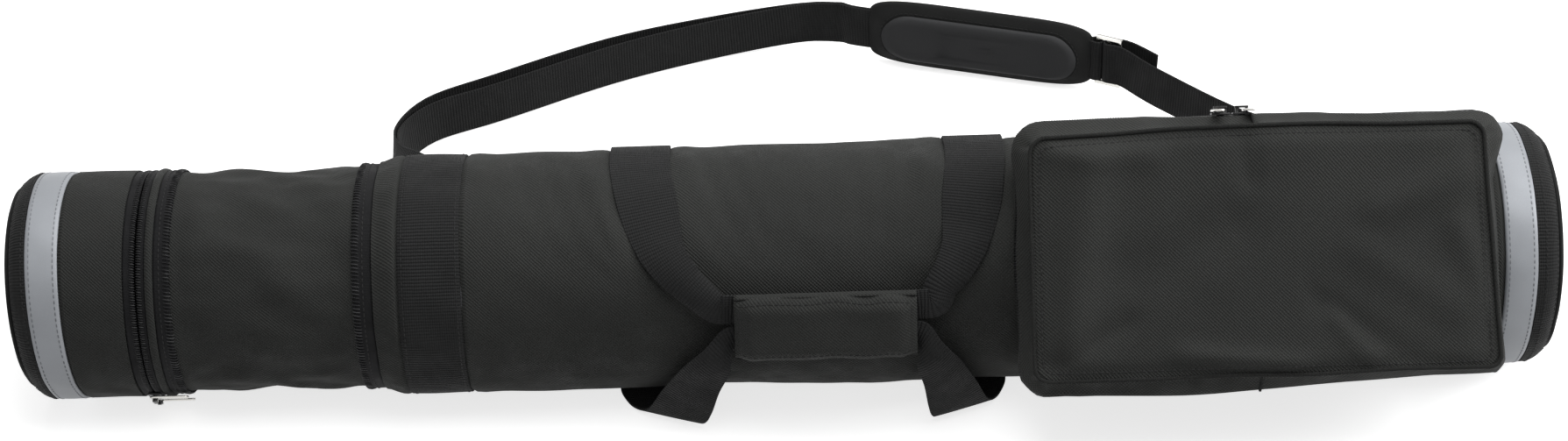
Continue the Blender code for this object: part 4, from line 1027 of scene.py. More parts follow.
def panel_fold(u, v, half):
    """Height of the front panel's soft folds at a share of its half width and half height."""
    here = Vector((u * half.x, v * half.y))
    rise = 0.0
    for a, b, breadth, height in PANEL_FOLDS:
        a, b = Vector((a[0] * half.x, a[1] * half.y)), Vector((b[0] * half.x, b[1] * half.y))
        along = min(1.0, max(0.0, (here - a).dot(b - a) / (b - a).length_squared))
        rise += 1.35 * height * hump((here - a.lerp(b, along)).length, breadth)
    return rise


def pocket_skin(name, levels, body, nodes, swell):
    """A wall round the pocket through (insets, n) levels, swelling between its two seams."""
    p = sizes("case_pocket")
    rows = [(outline(*box), n) for box, n in levels]
    count = len(rows[0][0])
    runs = outline_run(rows[0][0])
    last = len(rows) - 1

    def place(i, j):
        x, t, nx, nt = rows[j][0][i]
        n = rows[j][1](x, t) if callable(rows[j][1]) else rows[j][1]
        middle = math.sin(math.pi * j / last)
        long_fold = crease(x * nt * nt, t * nx * nx, 0.2 * n, 34.0)
        slack = 1.0 + 0.9 * crease(x, t, 0.5, 17.0)
        out = swell * middle * slack + p.wrinkle * middle * (1.5 * long_fold + crease(x, t, n, 30.0))
        return pocket_point(x + nx * out, t + nt * out, n)

    def cloth(i, j):
        return (runs[i], rows[j][1] if not callable(rows[j][1]) else 0.045 + 0.04 * j / last)

    bm = woven(count, last, place, cloth, round_columns=True)
    return piece(name, bm, "nylon", body, nodes, thick=p.wall)


class CASE_OT_pocket(bpy.types.Operator):
    """Sew the zipped pocket: base wall, cover wall, front panel, piping and zip"""
    bl_idname = "carry_case.pocket"
    bl_label = "Pocket"

    def execute(self, context):
        p = sizes("case_pocket")
        low, high = pocket_box("pocket_lid_gusset")
        front_low, front_high = pocket_box("pocket_front_panel")
        base_top = pocket_box("pocket_base_gusset")[1][2]
        wide = (low[0], high[0], low[1], high[1])
        seam_x, seam_t, seam_n = 0.008, 0.023, 0.040
        wall_n = base_top - 0.005

        def inset(n):
            """How far the wall has drawn in below the zip."""
            share = min(1.0, max(0.0, (wall_n - n) / (wall_n - seam_n)))
            return seam_x * share, seam_t * share

        def base_n(share):
            """Height of a wall row that starts on the tube and ends at the zip."""
            def height(x, t):
                start = math.sqrt(max(TUBE_R ** 2 - t * t, seam_n ** 2)) - 0.0006
                return start + (base_top - start) * share
            return height

        levels = []
        for share in steps(0.0, 1.0, 10):
            foot = math.sqrt(TUBE_R ** 2 - (high[1] - seam_t) ** 2)
            dx, dt = inset(foot + (base_top - foot) * share)
            levels.append(((low[0] + dx, high[0] - dx, low[1] + dt, high[1] - dt, p.corner), base_n(share)))
        pocket_skin("pocket_base_wall", levels, "case_tube", ["pocket_base_gusset"], 0.0016)

        front = (front_low[0], front_high[0], front_low[1], front_high[1])
        tight = 0.45 * p.corner
        levels = []
        for share in steps(0.0, 1.0, 12):
            lean = ease(share, 0.12, 1.0) * 0.4 + 0.6 * share
            box = tuple(a + (b - a) * lean for a, b in zip(wide, front))
            corner = p.corner + (tight - p.corner) * lean
            levels.append(((*box, corner), low[2] + (high[2] - low[2]) * share))
        pocket_skin("pocket_cover_wall", levels, "pocket_cover", ["pocket_lid_gusset"], p.bulge)
        self.wall_seams(levels)

        rim = outline(*front, tight)
        middle = Vector(((front[0] + front[1]) / 2, (front[2] + front[3]) / 2))
        half = Vector(((front[1] - front[0]) / 2, (front[3] - front[2]) / 2))
        rings = 22

        def panel_spot(i, j):
            share = 1.0 - (j / rings) ** 1.3
            return middle.x + (rim[i][0] - middle.x) * share, middle.y + (rim[i][1] - middle.y) * share, share

        def panel_n(x, t, share):
            rise = p.crown * (0.72 * ease(1.0 - share, 0.0, 0.16) + 0.28 * (1.0 - share * share))
            fold = p.wrinkle * 0.6 * (crease(x, t, 0.3, 12.0) + 0.4 * crease(x, t, 0.7, 34.0))
            fold += panel_fold((x - middle.x) / half.x, (t - middle.y) / half.y, half)
            return high[2] + 0.0003 + max(0.0, rise + fold * ease(1.0 - share, 0.0, 0.08))

        def panel(i, j):
            x, t, share = panel_spot(i, j)
            return pocket_point(x, t, panel_n(x, t, share))

        bm = woven(len(rim), rings, panel, lambda i, j: panel_spot(i % len(rim), j)[:2], round_columns=True)
        piece("pocket_front_cloth", bm, "nylon", "pocket_cover", ["pocket_front_panel"], thick=p.wall)
        edge = [pocket_point(x + nx * p.piping * 0.3, t + nt * (p.piping * 0.3 + 0.0004 * crease(x, t, 0.1, 30.0)),
                             high[2] + p.piping * 0.5 + 0.0003 * crease(x, t, 0.1, 40.0)) for x, t, nx, nt in rim]
        piece("pocket_piping", wire(edge, p.piping, True, 3), "nylon", "pocket_cover", ["pocket_front_piping"])
        inner = 0.0055
        line = outline(front[0] + inner, front[1] - inner, front[2] + inner, front[3] - inner, tight - 0.003)
        share = 1.0 - inner / half.y
        spots = [pocket_point(x, t, panel_n(x, t, share)) for x, t, nx, nt in line]
        stitches("pocket_front_stitching", seam(spots, [POCKET_OUT] * len(spots), 0.0001, True), "pocket_cover")
        self.zip(wide, low, high)
        return {"FINISHED"}

    def wall_seams(self, levels):
        """The folded seams that join the cover wall's strips, one above and one below."""
        p = sizes("case_pocket")
        last = len(levels) - 1
        parts = []
        for place, at in ((0.330, 1), (0.331, -1)):
            spots = []
            for j, ((left, right, low, high, corner), n) in enumerate(levels):
                out = p.bulge * math.sin(math.pi * j / last) + 0.0006
                spots.append(pocket_point(place, high + out if at > 0 else low - out, n))
            parts.append(wire(smooth(spots, 2), 0.0011, False, 2))
        piece("pocket_wall_seams", join(parts), "nylon", "pocket_cover")

    def zip(self, wide, low, high):
        """Tape and coil of each zip half round the sides and top, and the cloth hinge along the bottom."""
        p, z = sizes("case_pocket"), sizes("case_zip")
        path = outline(*wide, p.corner)
        corner = LONG + BEND
        zipped = path[corner:] + path[:BEND + 1]
        for node, body in (("pocket_zip_half_base", "case_tube"), ("pocket_zip_half_lid", "pocket_cover")):
            n0, n1 = pocket_box(node)[0][2], pocket_box(node)[1][2]
            runs = outline_run(zipped)

            def tape(i, j):
                x, t, nx, nt = zipped[i]
                return pocket_point(x - nx * 0.0008, t - nt * 0.0008, n0 + (n1 - n0) * j / 2)

            bm = woven(len(zipped) - 1, 2, tape, lambda i, j: (n1 - n0, runs[i]))
            piece(node + "_tape", bm, "tape", body, [node], thick=z.tape)
            places = [Vector((x, t, 0.0)) for x, t, nx, nt in zipped]
            sides = [Vector((nx, nt, 0.0)) for x, t, nx, nt in zipped]
            winding = []
            turns = int(runs[len(zipped) - 1] / z.pitch)
            for k in range(turns * 8 + 1):
                run = runs[len(zipped) - 1] * k / (turns * 8)
                i = max(0, min(len(zipped) - 2, next(m for m, r in enumerate(runs) if r >= run) - 1))
                share = (run - runs[i]) / max(1e-9, runs[i + 1] - runs[i])
                spot, side = places[i].lerp(places[i + 1], share), sides[i].lerp(sides[i + 1], share)
                spot = spot + side * (0.0011 * sin(45.0 * k) - 0.0011)
                winding.append(pocket_point(spot.x, spot.y, (n0 + n1) / 2 + (n1 - n0) / 2 * cos(45.0 * k)))
            piece(node + "_coil", wire(winding, z.wire), "coil", body)
        x0, x1 = wide[0] + 0.019, wide[1] - 0.019
        n0, n1 = pocket_box("pocket_hinge_fabric")[0][2], pocket_box("pocket_hinge_fabric")[1][2]
        bm = woven(40, 6, lambda i, j: pocket_point(x0 + (x1 - x0) * i / 40, low[1], n0 + (n1 - n0) * j / 6),
                   lambda i, j: ((x1 - x0) * i / 40, (n1 - n0) * j / 6))
        hinge = piece("pocket_hinge_cloth", bm, "nylon", None, ["pocket_hinge_fabric"], thick=0.0012)
        foot = pocket_point(POCKET_MID, low[1], n0)
        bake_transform(hinge)


# Webbing

def webbing(route, outs, widths, thick, cups=None, closed=False, slants=None):
    """Flat webbing along a route: out is its upper side, and its edges are eased. Slants are given sideways
    directions where a fold sets them."""
    across = (-1.0, -0.98, -0.6, -0.2, 0.2, 0.6, 0.98, 1.0, 0.98, 0.6, 0.2, -0.2, -0.6, -0.98)
    lifts = (0.0, 1.0, 1.0, 1.0, 1.0, 1.0, 1.0, 0.0, -1.0, -1.0, -1.0, -1.0, -1.0, -1.0)
    last = len(route) - 1
    runs, frames = [0.0], []
    for k, point in enumerate(route):
        ahead = route[(k + 1) % len(route)] if closed or k < last else point
        behind = route[k - 1] if closed or k else point
        tangent = (ahead - behind).normalized()
        out = (outs[k] - tangent * outs[k].dot(tangent)).normalized()
        frames.append((point, slants[k] if slants else tangent.cross(out), out))
        runs.append(runs[-1] + ((ahead - point).length if closed or k < last else 0.0))

    def place(i, j):
        point, side, out = frames[j]
        bow = cups[j] * (0.3 - across[i] ** 2) if cups else 0.0
        return point + side * (across[i] * widths[j] / 2) + out * (lifts[i] * thick / 2 + bow)

    def cloth(i, j):
        return (across[i % 14] * widths[j % len(widths)] / 2, runs[j])

    rows = len(route) if closed else last
    return woven(14, rows, place, cloth, round_columns=True, round_rows=closed, capped=not closed)


def edge_seams(route, outs, widths, thick, inset=0.003):
    """Stitch places along both edges of a run of webbing."""
    places = []
    last = len(route) - 1
    for way in (-1.0, 1.0):
        spots, sides = [], []
        for k, point in enumerate(route):
            tangent = (route[min(k + 1, last)] - route[max(k - 1, 0)]).normalized()
            out = (outs[k] - tangent * outs[k].dot(tangent)).normalized()
            spots.append(point + tangent.cross(out) * way * (widths[k] / 2 - inset))
            sides.append(out)
        places += seam(spots, sides, thick / 2)
    return places


def grip_point(x, s, q):
    """x along the tube, s up the grip's face and q out from the tube's axis."""
    return Vector((x, 0.0, AXIS_Z)) + GRIP_UP * s + GRIP_OUT * q


def grip_box(node):
    middle = Vector((0.0, 0.0, AXIS_Z))
    spots = [v.co - middle for v in frame["nodes"][node].data.vertices]
    found = [(p.x, p.dot(GRIP_UP), p.dot(GRIP_OUT)) for p in spots]
    return [min(c) for c in zip(*found)], [max(c) for c in zip(*found)]


UPPER_WIDTHS = (0.043, 0.043, 0.043, 0.043, 0.043, 0.043, 0.042, 0.038, 0.032, 0.027, 0.024, 0.023, 0.023, 0.024, 0.024)
UPPER_CUPS = (0.0, 0.0, 0.0, 0.0, 0.0, 0.0, 0.0005, 0.0012, 0.0025, 0.0036, 0.0040, 0.0034, 0.0026, 0.0020, 0.0020)
LOWER_WIDTHS = (0.043, 0.043, 0.043, 0.043, 0.040, 0.034, 0.027, 0.021, 0.020, 0.021)
LOWER_CUPS = (0.0, 0.0, 0.0, 0.0006, 0.0012, 0.0024, 0.0034, 0.0034, 0.0026, 0.0020)


class CASE_OT_handle(bpy.types.Operator):
    """Sew the carry handle: webbing legs, padded wrap and its flap"""
    bl_idname = "carry_case.handle"
    bl_label = "Carry handle"

    def execute(self, context):
        for side, way in ((0, 1.0), (1, -1.0)):
            self.upper_leg(side, way)
            self.lower_leg(side, way)
        self.grip()
        return {"FINISHED"}

    def leg(self, name, route, outs, widths, cups, start, end, slants=None):
        s = sizes("case_webbing")
        route, outs, widths, cups = (smooth(list(given), 6) for given in (route, outs, widths, cups))
        slants = smooth(slants, 6) if slants else None
        made = piece(name.replace("handle_leg", "handle_webbing"), webbing(route, outs, widths, s.thick, cups, slants=slants),
                     "webbing", None, [name])
        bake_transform(made)
        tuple(start)
        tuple(end)

    def upper_leg(self, side, way):
        """From its sewn end on the back, over the top, then swept in to the grip."""
        s = sizes("case_webbing")
        grip = GRIP_X[side]
        q = grip_box("grip_wrap")[0][2] + 0.0024 + s.thick / 2
        route, outs = [], []
        for turn in (132.0, 121.0, 110.0) + LEG_TURNS:
            lift = 0.0022 + 0.0011 * ease(turn, 92.0, 108.0) + (q - TUBE_R - 0.002) * ease(-turn, -58.0, -24.0)
            route.append(on_tube(leg_x(side, turn), TUBE_R + lift, turn))
            outs.append(outward(turn))
        for along, rise in ((-0.013, 0.0138), (-0.003, 0.0126), (0.010, 0.0118), (0.022, 0.0115)):
            route.append(grip_point(grip + way * along, rise, q))
            outs.append(GRIP_OUT.copy())
        self.leg("handle_leg_upper_" + SIDES[side], route, outs, UPPER_WIDTHS, UPPER_CUPS, route[4], route[-4])

    def lower_leg(self, side, way):
        """From its sewn end under the tube, forward along the floor, folded and up to the grip."""
        s = sizes("case_webbing")
        grip, anchor = GRIP_X[side], HANDLE_MID[side]
        run = grip - anchor
        q = grip_box("grip_wrap")[0][2] + 0.0024 + s.thick / 2
        low = 0.001 + s.thick
        foot = -TUBE_R * cos(290.0)
        route = [Vector((anchor, foot - 0.004, low + 0.0012)), Vector((anchor + run * 0.02, foot - 0.018, low)),
                 Vector((anchor + run * 0.13, foot - 0.036, low)), Vector((anchor + run * 0.30, foot - 0.049, 0.0085)),
                 Vector((anchor + run * 0.44, foot - 0.060, 0.031)), Vector((anchor + run * 0.60, foot - 0.070, 0.058)),
                 Vector((anchor + run * 0.79, foot - 0.076, 0.080)), grip_point(grip - way * 0.003, -0.0105, q + 0.0006),
                 grip_point(grip + way * 0.010, -0.0108, q), grip_point(grip + way * 0.022, -0.011, q)]
        across = ((1.0, 0.0, 0.0), (1.0, -0.1, 0.0), (0.95, -0.27, 0.0), (0.94, -0.33, -0.08), (0.86, -0.20, -0.44),
                  (0.77, -0.05, -0.64), (0.72, 0.0, -0.69), (0.30, 0.1, -0.95), (0.0, 0.0, -1.0), (0.0, 0.0, -1.0))
        outs = []
        last = len(route) - 1
        for k, (x, y, z) in enumerate(across):
            tangent = (route[min(k + 1, last)] - route[max(k - 1, 0)]).normalized()
            outs.append((Vector((x * way, y, z)).cross(tangent) * way).normalized())
        self.leg("handle_leg_lower_" + SIDES[side], route, outs, LOWER_WIDTHS, LOWER_CUPS, route[2], route[-3],
                 [Vector((x * way, y, z)) * way for x, y, z in across])

    def grip(self):
        """A padded wrap folded round the webbing ends, closed by a stitched flap."""
        low, high = grip_box("grip_wrap")
        flap_low, flap_high = grip_box("grip_flap")
        rise = high[1]
        bend = 0.004
        path = [(rise - 0.0002, high[2] - 0.0004), (rise, low[2] + bend)]
        path += [(rise - bend + bend * cos(a), low[2] + bend - bend * sin(a)) for a in steps(0.0, 90.0, 5)]
        path += [(s, low[2]) for s in steps(rise - bend - 0.004, bend + 0.004 - rise, 8)]
        path += [(bend - rise - bend * sin(a), low[2] + bend - bend * cos(a)) for a in steps(0.0, 90.0, 5)]
        path += [(-rise, high[2] - 0.003)]
        rows = 32

        def wrap(i, j):
            x = low[0] + (high[0] - low[0]) * j / rows
            s, q = path[i]
            wave = 0.0006 * noise.noise(Vector((x * 40.0, s * 30.0, q * 30.0)))
            return grip_point(x, s + wave, q + wave)

        bm = woven(len(path) - 1, rows, wrap, lambda i, j: (i * 0.004, (high[0] - low[0]) * j / rows))
        body = piece("grip_padding", bm, "nylon", "carry_handle", ["grip_wrap"], thick=0.0015)
        columns, rows = 40, 18

        def flap_q(x, s):
            edge_x = ease(min(x - low[0], high[0] - x), 0.0, 0.012)
            edge_s = ease(rise - abs(s), 0.0, 0.010)
            puff = 0.0046 * edge_x * edge_s
            hem = 0.0009 * hump(min(x - low[0], high[0] - x) - 0.005, 0.002)
            wave = 0.0018 * noise.noise(Vector((x * 26.0, s * 30.0, 0.4))) * edge_s
            return flap_high[2] + puff - hem + wave

        def flap_spot(x, s, lift=0.0):
            wavy = 0.0046 * noise.noise(Vector((x * 44.0, 2.0, 0.0))) * (1.0 if s > 0 else 0.45)
            ends = 0.0030 * (1.0 - ease(min(x - low[0], high[0] - x), 0.0, 0.012))
            return grip_point(x, (s + wavy * abs(s / rise)) * (1.0 - ends / rise), flap_q(x, s) - 0.0026 * (s / rise) ** 8 + lift)

        def flap(i, j):
            return flap_spot(low[0] + (high[0] - low[0]) * i / columns, -rise + 2 * rise * j / rows)

        bm = woven(columns, rows, flap, lambda i, j: (0.128 * i / columns, 0.05 * j / rows))
        cover = piece("grip_flap_cloth", bm, "nylon", "grip_cover", ["grip_flap"], thick=0.0016)
        line = []
        inset = 0.0042
        for x, s in ((low[0], -rise), (high[0], -rise), (high[0], rise), (low[0], rise)):
            line.append((x + math.copysign(inset, sum(GRIP_X) / 2 - x), s - math.copysign(inset, s)))
        spots = []
        for a, b in zip(line, line[1:] + line[:1]):
            for share in steps(0.0, 1.0, 30)[:-1]:
                x, s = a[0] + (b[0] - a[0]) * share, a[1] + (b[1] - a[1]) * share
                spots.append(flap_spot(x, s, 0.0002))
        stitches("grip_flap_stitching", seam(spots, [GRIP_OUT] * len(spots), 0.0, True), "grip_cover")
        item = frame["nodes"]["grip_hook_strip"]
        item.data.materials.clear()
        item.data.materials.append(finish("hook"))
        core_low, core_high = grip_box("handle_webbing_core")
        route = [grip_point(x, 0.0, (core_low[2] + core_high[2]) / 2) for x in steps(core_low[0], core_high[0], 12)]
        bm = webbing(route, [GRIP_OUT] * 13, [core_high[1] - core_low[1]] * 13, core_high[2] - core_low[2])
        piece("handle_webbing_middle", bm, "webbing", "carry_handle", ["handle_webbing_core"])
        bm = bmesh.new()
        bm.from_mesh(item.data)
        bmesh.ops.remove_doubles(bm, verts=bm.verts, dist=1e-6)
        bmesh.ops.bevel(bm, geom=list(bm.edges), offset=0.0003, offset_type="OFFSET", segments=2, profile=0.5,
                        affect="EDGES", material=-1)
        piece("hook_strip", bm, "hook", "carry_handle", ["grip_hook_strip"])


# Shoulder strap

RING_DROP = 30.0
RING_REACH = 0.020
RING_WIRE = 0.002
BAR = 0.0015
ADJUST_PITCH = 0.0095
ADJUST_SLOPE = -26.0
LEFT_ROUTE = ((-0.282, 0.166, 0.047), (-0.303, 0.206, 0.028), (-0.305, 0.243, 0.020), (-0.282, 0.278, 0.020),
              (-0.228, 0.306, 0.020), (-0.139, 0.352, 0.020), (-0.060, 0.381, 0.020), (0.014, 0.395, 0.024),
              (0.050, 0.389, 0.0283))
RIGHT_ROUTE = ((0.310, 0.284, 0.0273), (0.372, 0.226, 0.026), (0.414, 0.178, 0.038), (0.440, 0.142, 0.055))
PAD_MID = Vector((0.170, 0.3475, 0.0313))
PAD_L, PAD_H = 0.172, 0.062
UP = Vector((0.0, 0.0, 1.0))


def ring_frame(side):
    """A ring's tube-side bar, the way out from it and the way over the strap."""
    away = Vector((0.0, cos(RING_DROP), -sin(RING_DROP)))
    return Vector((RINGS_X[side], RING_AXIS.y, RING_AXIS.z)), away, Vector((0.0, sin(RING_DROP), cos(RING_DROP)))


def half_turn(middle, away, over, radius):
    """The webbing's way round a bar, from the over side to the under side."""
    return [middle + over * radius * cos(a) - away * radius * sin(a) for a in steps(15.0, 165.0, 10)]


def strap_frames(points, widths):
    """Each point with the way out of the webbing there."""
    last = len(points) - 1
    found = []
    for k, (point, wide) in enumerate(zip(points, widths)):
        tangent = (points[min(k + 1, last)] - points[max(k - 1, 0)]).normalized()
        found.append((point, wide.cross(tangent).normalized()))
    return found


def looped(route, sides, wide, thick, closed):
    """Webbing that doubles back: its width keeps to the given directions."""
    outs = []
    last = len(route) - 1
    for k, side in enumerate(sides):
        ahead = route[(k + 1) % len(route)] if closed or k < last else route[k]
        behind = route[k - 1] if closed or k else route[k]
        tangent = (ahead - behind).normalized()
        side = (side - tangent * side.dot(tangent)).normalized()
        outs.append(side.cross(tangent).normalized())
    return webbing(route, outs, [wide] * len(route), thick, closed=closed), outs


def wavy(points, depth):
    """A strap's slack: slow waves that leave its ends alone."""
    last = len(points) - 1
    found = []
    for k, p in enumerate(points):
        here = ease(k, 8, 20) * ease(-k, -last + 8, -last + 20)
        found.append(p + Vector((0.0, noise.noise(p * 14.0), 0.0)) * depth * here)
    return found


class CASE_OT_strap(bpy.types.Operator):
    """Thread the shoulder strap through its rings and its adjuster"""
    bl_idname = "carry_case.strap"
    bl_label = "Shoulder strap"

    def execute(self, context):
        s = sizes("case_webbing")
        count = 6
        ahead = Vector((cos(ADJUST_SLOPE), sin(ADJUST_SLOPE), 0.0))
        behind = Vector((-sin(ADJUST_SLOPE), cos(ADJUST_SLOPE), 0.0))
        adjuster = PAD_MID + PAD_ALONG * (PAD_L / 2 + 0.009) + ahead * ADJUST_PITCH
        ring_r = RING_WIRE + 0.0004 + s.thick / 2
        bar_r = 1.42 * BAR + 0.00105 + s.thick / 2
        tight = s.thick / 2 + 0.00015
        bar, away, over = ring_frame(0)
        lead = away * (RING_REACH + 0.016) + Vector((-0.003, 0.0, 0.0))
        left = [bar + away * RING_REACH, bar + lead] + [Vector(p) for p in LEFT_ROUTE]
        left += [PAD_MID - PAD_ALONG * (PAD_L / 2 + 0.020), PAD_MID - PAD_ALONG * PAD_L / 4,
                 PAD_MID + PAD_ALONG * PAD_L / 4, PAD_MID + PAD_ALONG * (PAD_L / 2 + 0.001),
                 adjuster - ahead * ADJUST_PITCH]
        flat = Vector((1.0, 0.0, 0.0))
        wide = [flat, flat, Vector((0.85, -0.15, 0.5)), Vector((0.35, -0.1, 0.93)), UP] + [UP] * 11
        points, widths = smooth(left, count), smooth(wide, count)
        last = len(left) - 1
        offsets = []
        for k in range(len(points)):
            at = k / count
            open_loop = tight + 0.0034 * max(0.0, sin(180.0 * (at - 3.0) / (last - 8.5))) ** 2
            value = ring_r + (open_loop - ring_r) * ease(at, 2.4, 3.4) if at < last - 5.5 else tight + 0.0002
            offsets.append(value + (bar_r - value) * ease(at, last - 1.2, last - 0.6))
        lined = strap_frames(points, widths)
        back = [p + out * d + UP * max(0.0, d - tight) * 0.9 * ease(p.z, 0.03, 0.021) for (p, out), d in zip(lined, offsets)]
        front = [p - out * d for (p, out), d in zip(lined, offsets)]
        end = half_turn(points[-1], -ahead, behind, bar_r)
        start = half_turn(points[0], away, over, ring_r)
        if (back[0] - points[0]).dot(over) < 0:
            start = start[::-1]
        if (back[-1] - points[-1]).dot(behind) < 0:
            end = end[::-1]
        route = back + end + front[::-1] + start[::-1]
        sides = widths + [widths[-1]] * len(end) + widths[::-1] + [widths[0]] * len(start)
        bm, outs = looped(route, sides, s.strap_wide, s.thick, True)
        piece("strap_left_webbing", bm, "webbing", "long_strap", ["strap_loop_webbing"])
        self.right(adjuster, ahead, behind, ring_r, bar_r)
        self.tabs()
        return {"FINISHED"}

    def right(self, adjuster, ahead, behind, ring_r, bar_r):
        """The single run from the adjuster to the right ring, folded back and sewn at both ends."""
        s = sizes("case_webbing")
        count = 6
        bar, away, over = ring_frame(1)
        lead = away * (RING_REACH + 0.016) + Vector((-0.003, 0.0, 0.0))
        route = [adjuster, adjuster + ahead * 0.014] + [Vector(p) for p in RIGHT_ROUTE]
        route += [bar + lead, bar + away * RING_REACH]
        flat = Vector((1.0, 0.0, 0.0))
        wide = [UP, UP, UP, UP, Vector((0.45, 0.2, 0.87)), Vector((0.85, 0.1, 0.45)), flat, flat]
        points, widths = smooth(route, count), smooth(wide, count)
        lined = strap_frames(points, widths)
        total = len(points)
        reach = [bar_r + (ring_r - bar_r) * ease(k, total - 16, total - 1) for k in range(total)]
        main = [p - out * d for (p, out), d in zip(lined, reach)]
        other = [p + out * d for (p, out), d in zip(lined, reach)]
        for k in range(2 * count):
            other[k] += UP * 0.006 * ease(k, 1, 2 * count)
        turn_left = half_turn(points[0], ahead, behind, bar_r)
        turn_right = half_turn(points[-1], away, over, ring_r)
        if (other[0] - points[0]).dot(behind) < 0:
            turn_left = turn_left[::-1]
        if (main[-1] - points[-1]).dot(over) < 0:
            turn_right = turn_right[::-1]
        tail = 2 * count
        run = other[:tail][::-1] + turn_left + main + turn_right + other[1 - tail:][::-1]
        sides = [widths[0]] * (tail + len(turn_left)) + widths + [widths[-1]] * (len(turn_right) + tail - 1)
        bm, outs = looped(run, sides, s.strap_wide, s.thick, False)
        piece("strap_right_single", bm, "webbing", "long_strap", ["strap_right_webbing"])
        places = []
        for first in (1, total - tail + 3):
            part = range(first, first + tail - 4)
            face = [main[k] for k in part]
            side = [-lined[k][1] for k in part]
            places += edge_seams(face, side, [s.strap_wide] * len(face), s.thick, 0.004)
        stitches("strap_end_stitching", places, "long_strap")

    def tabs(self):
        """Short webbing tabs sewn to the tube, each folded round the bar of its ring."""
        s = sizes("case_webbing")
        for side in (0, 1):
            bar, away, over = ring_frame(side)
            radius = RING_WIRE + 0.0004 + 0.0007
            x = RINGS_X[side]
            up = [on_tube(x, TUBE_R + 0.0013, a) for a in steps(168.5, 177.0, 5)]
            down = [on_tube(x, TUBE_R + 0.0013, a) for a in steps(183.0, 191.5, 5)]
            loop = [bar + Vector((0.0, radius * cos(a), radius * sin(a))) for a in steps(118.0, -118.0, 16)]
            route = up + loop + down
            bm, outs = looped(route, [Vector((1.0, 0.0, 0.0))] * len(route), s.strap_wide, 0.0014, False)
            piece("ring_tab_" + SIDES[side], bm, "webbing", "case_tube", ["strap_tab_" + SIDES[side]])
            lines = [on_tube(x - 0.015, TUBE_R + 0.0021, a) for a in (169.5, 190.5)]
            places = []
            for a, first in zip((169.5, 173.5, 186.5, 190.5), (0, 0, 1, 1)):
                line = [on_tube(px, TUBE_R + 0.0021, a) for px in steps(x - 0.016, x + 0.016, 4)]
                places += seam(line, [outward(a)] * 5, 0.0)
            stitches("ring_tab_%s_stitching" % SIDES[side], places, "case_tube")


class CASE_OT_pad(bpy.types.Operator):
    """Shape the shoulder pad, its bound edge and its non-slip patch"""
    bl_idname = "carry_case.pad"
    bl_label = "Shoulder pad"

    def point(self, u, v, w):
        u += 0.004 * ease(u, 0.0, PAD_L / 2) - 0.010 * ease(-u, 0.0, PAD_L / 2)
        return PAD_MID + PAD_ALONG * u + PAD_FAR * v + UP * w

    def half_high(self, share):
        round_off = (1.0 - min(1.0, abs(share)) ** 5) ** 0.5
        return PAD_H / 2 * (0.60 + 0.40 * round_off)

    def face(self, u, w):
        """The front of the pad: crowned, with two soft creases across it."""
        share = u / (PAD_L / 2)
        high = self.half_high(share)
        edge = ease(high - abs(w), 0.0, 0.016) * ease(1.0 - abs(share), 0.0, 0.16)
        dent = 0.0016 * (hump(u + 0.030 - 0.1 * w, 0.004) + 0.7 * hump(u - 0.006 + 0.06 * w, 0.0035))
        slow = 0.0008 * noise.noise(Vector((u * 30.0, w * 30.0, 0.2)))
        return -(0.0044 + 0.0046 * edge - (dent - slow) * edge)

    def execute(self, context):
        columns, rows = 36, 60

        def shape(i, j):
            share = -cos(180.0 * j / rows)
            high = self.half_high(share) * (1.0 - 0.5 * ease(abs(share), 0.985, 1.0))
            turn = 360.0 * i / columns
            w = high * math.copysign(abs(sin(turn)) ** 0.7, sin(turn))
            u = share * PAD_L / 2
            if cos(turn) >= 0:
                v = self.face(u, w) * abs(cos(turn)) ** 0.55
            else:
                v = 0.0042 * abs(cos(turn)) ** 0.5
            return self.point(u, v, w)

        bm = woven(columns, rows, shape, lambda i, j: (0.15 * i / columns, PAD_L * j / rows), round_columns=True, capped=True)
        pad = piece("shoulder_cushion", bm, "binding", "strap_pad", ["shoulder_pad"], angle=70.0)
        rim = []
        for j in range(rows + 1):
            share = -cos(180.0 * j / rows)
            rim.append((share * PAD_L / 2, self.half_high(share) * (1.0 - 0.5 * ease(abs(share), 0.985, 1.0)) - 0.0014))
        loop = [self.point(u, -0.0002, w) for u, w in rim] + [self.point(u, -0.0002, -w) for u, w in reversed(rim)]
        piece("shoulder_pad_binding", wire(loop, 0.0015, True, 2), "binding", "strap_pad")
        low, high = 0.150 / 2, 0.043 / 2
        half = low - high
        turns = steps(-90.0, 90.0, 16) + steps(90.0, 270.0, 16)
        edge = [(math.copysign(half, cos(a)) if abs(cos(a)) > 1e-6 else (half if k < 17 else -half), a) for k, a in enumerate(turns)]
        line = [(x + high * cos(a), high * sin(a)) for x, a in edge]
        rings = 10

        def patch(i, j):
            share = 1.0 - j / rings
            u, w = line[i][0] * (share if share else 0.0), line[i][1] * share
            lift = 0.0011 * ease(1.0 - share, 0.0, 0.12) + 0.0002
            return self.point(u, self.face(u, w) - lift, w)

        bm = woven(len(line), rings, patch, lambda i, j: (line[i % len(line)][0], line[i % len(line)][1]), round_columns=True)
        piece("shoulder_pad_grip", bm, "rubber", "strap_pad", ["shoulder_pad_patch"], thick=0.0010)
        spots = [self.point(u * 1.02, self.face(u * 1.02, w * 1.09) - 0.0002, w * 1.09) for u, w in line]
        stitches("shoulder_pad_stitching", seam(spots, [-PAD_FAR] * len(spots), 0.0, True), "strap_pad")
        return {"FINISHED"}


# Studio

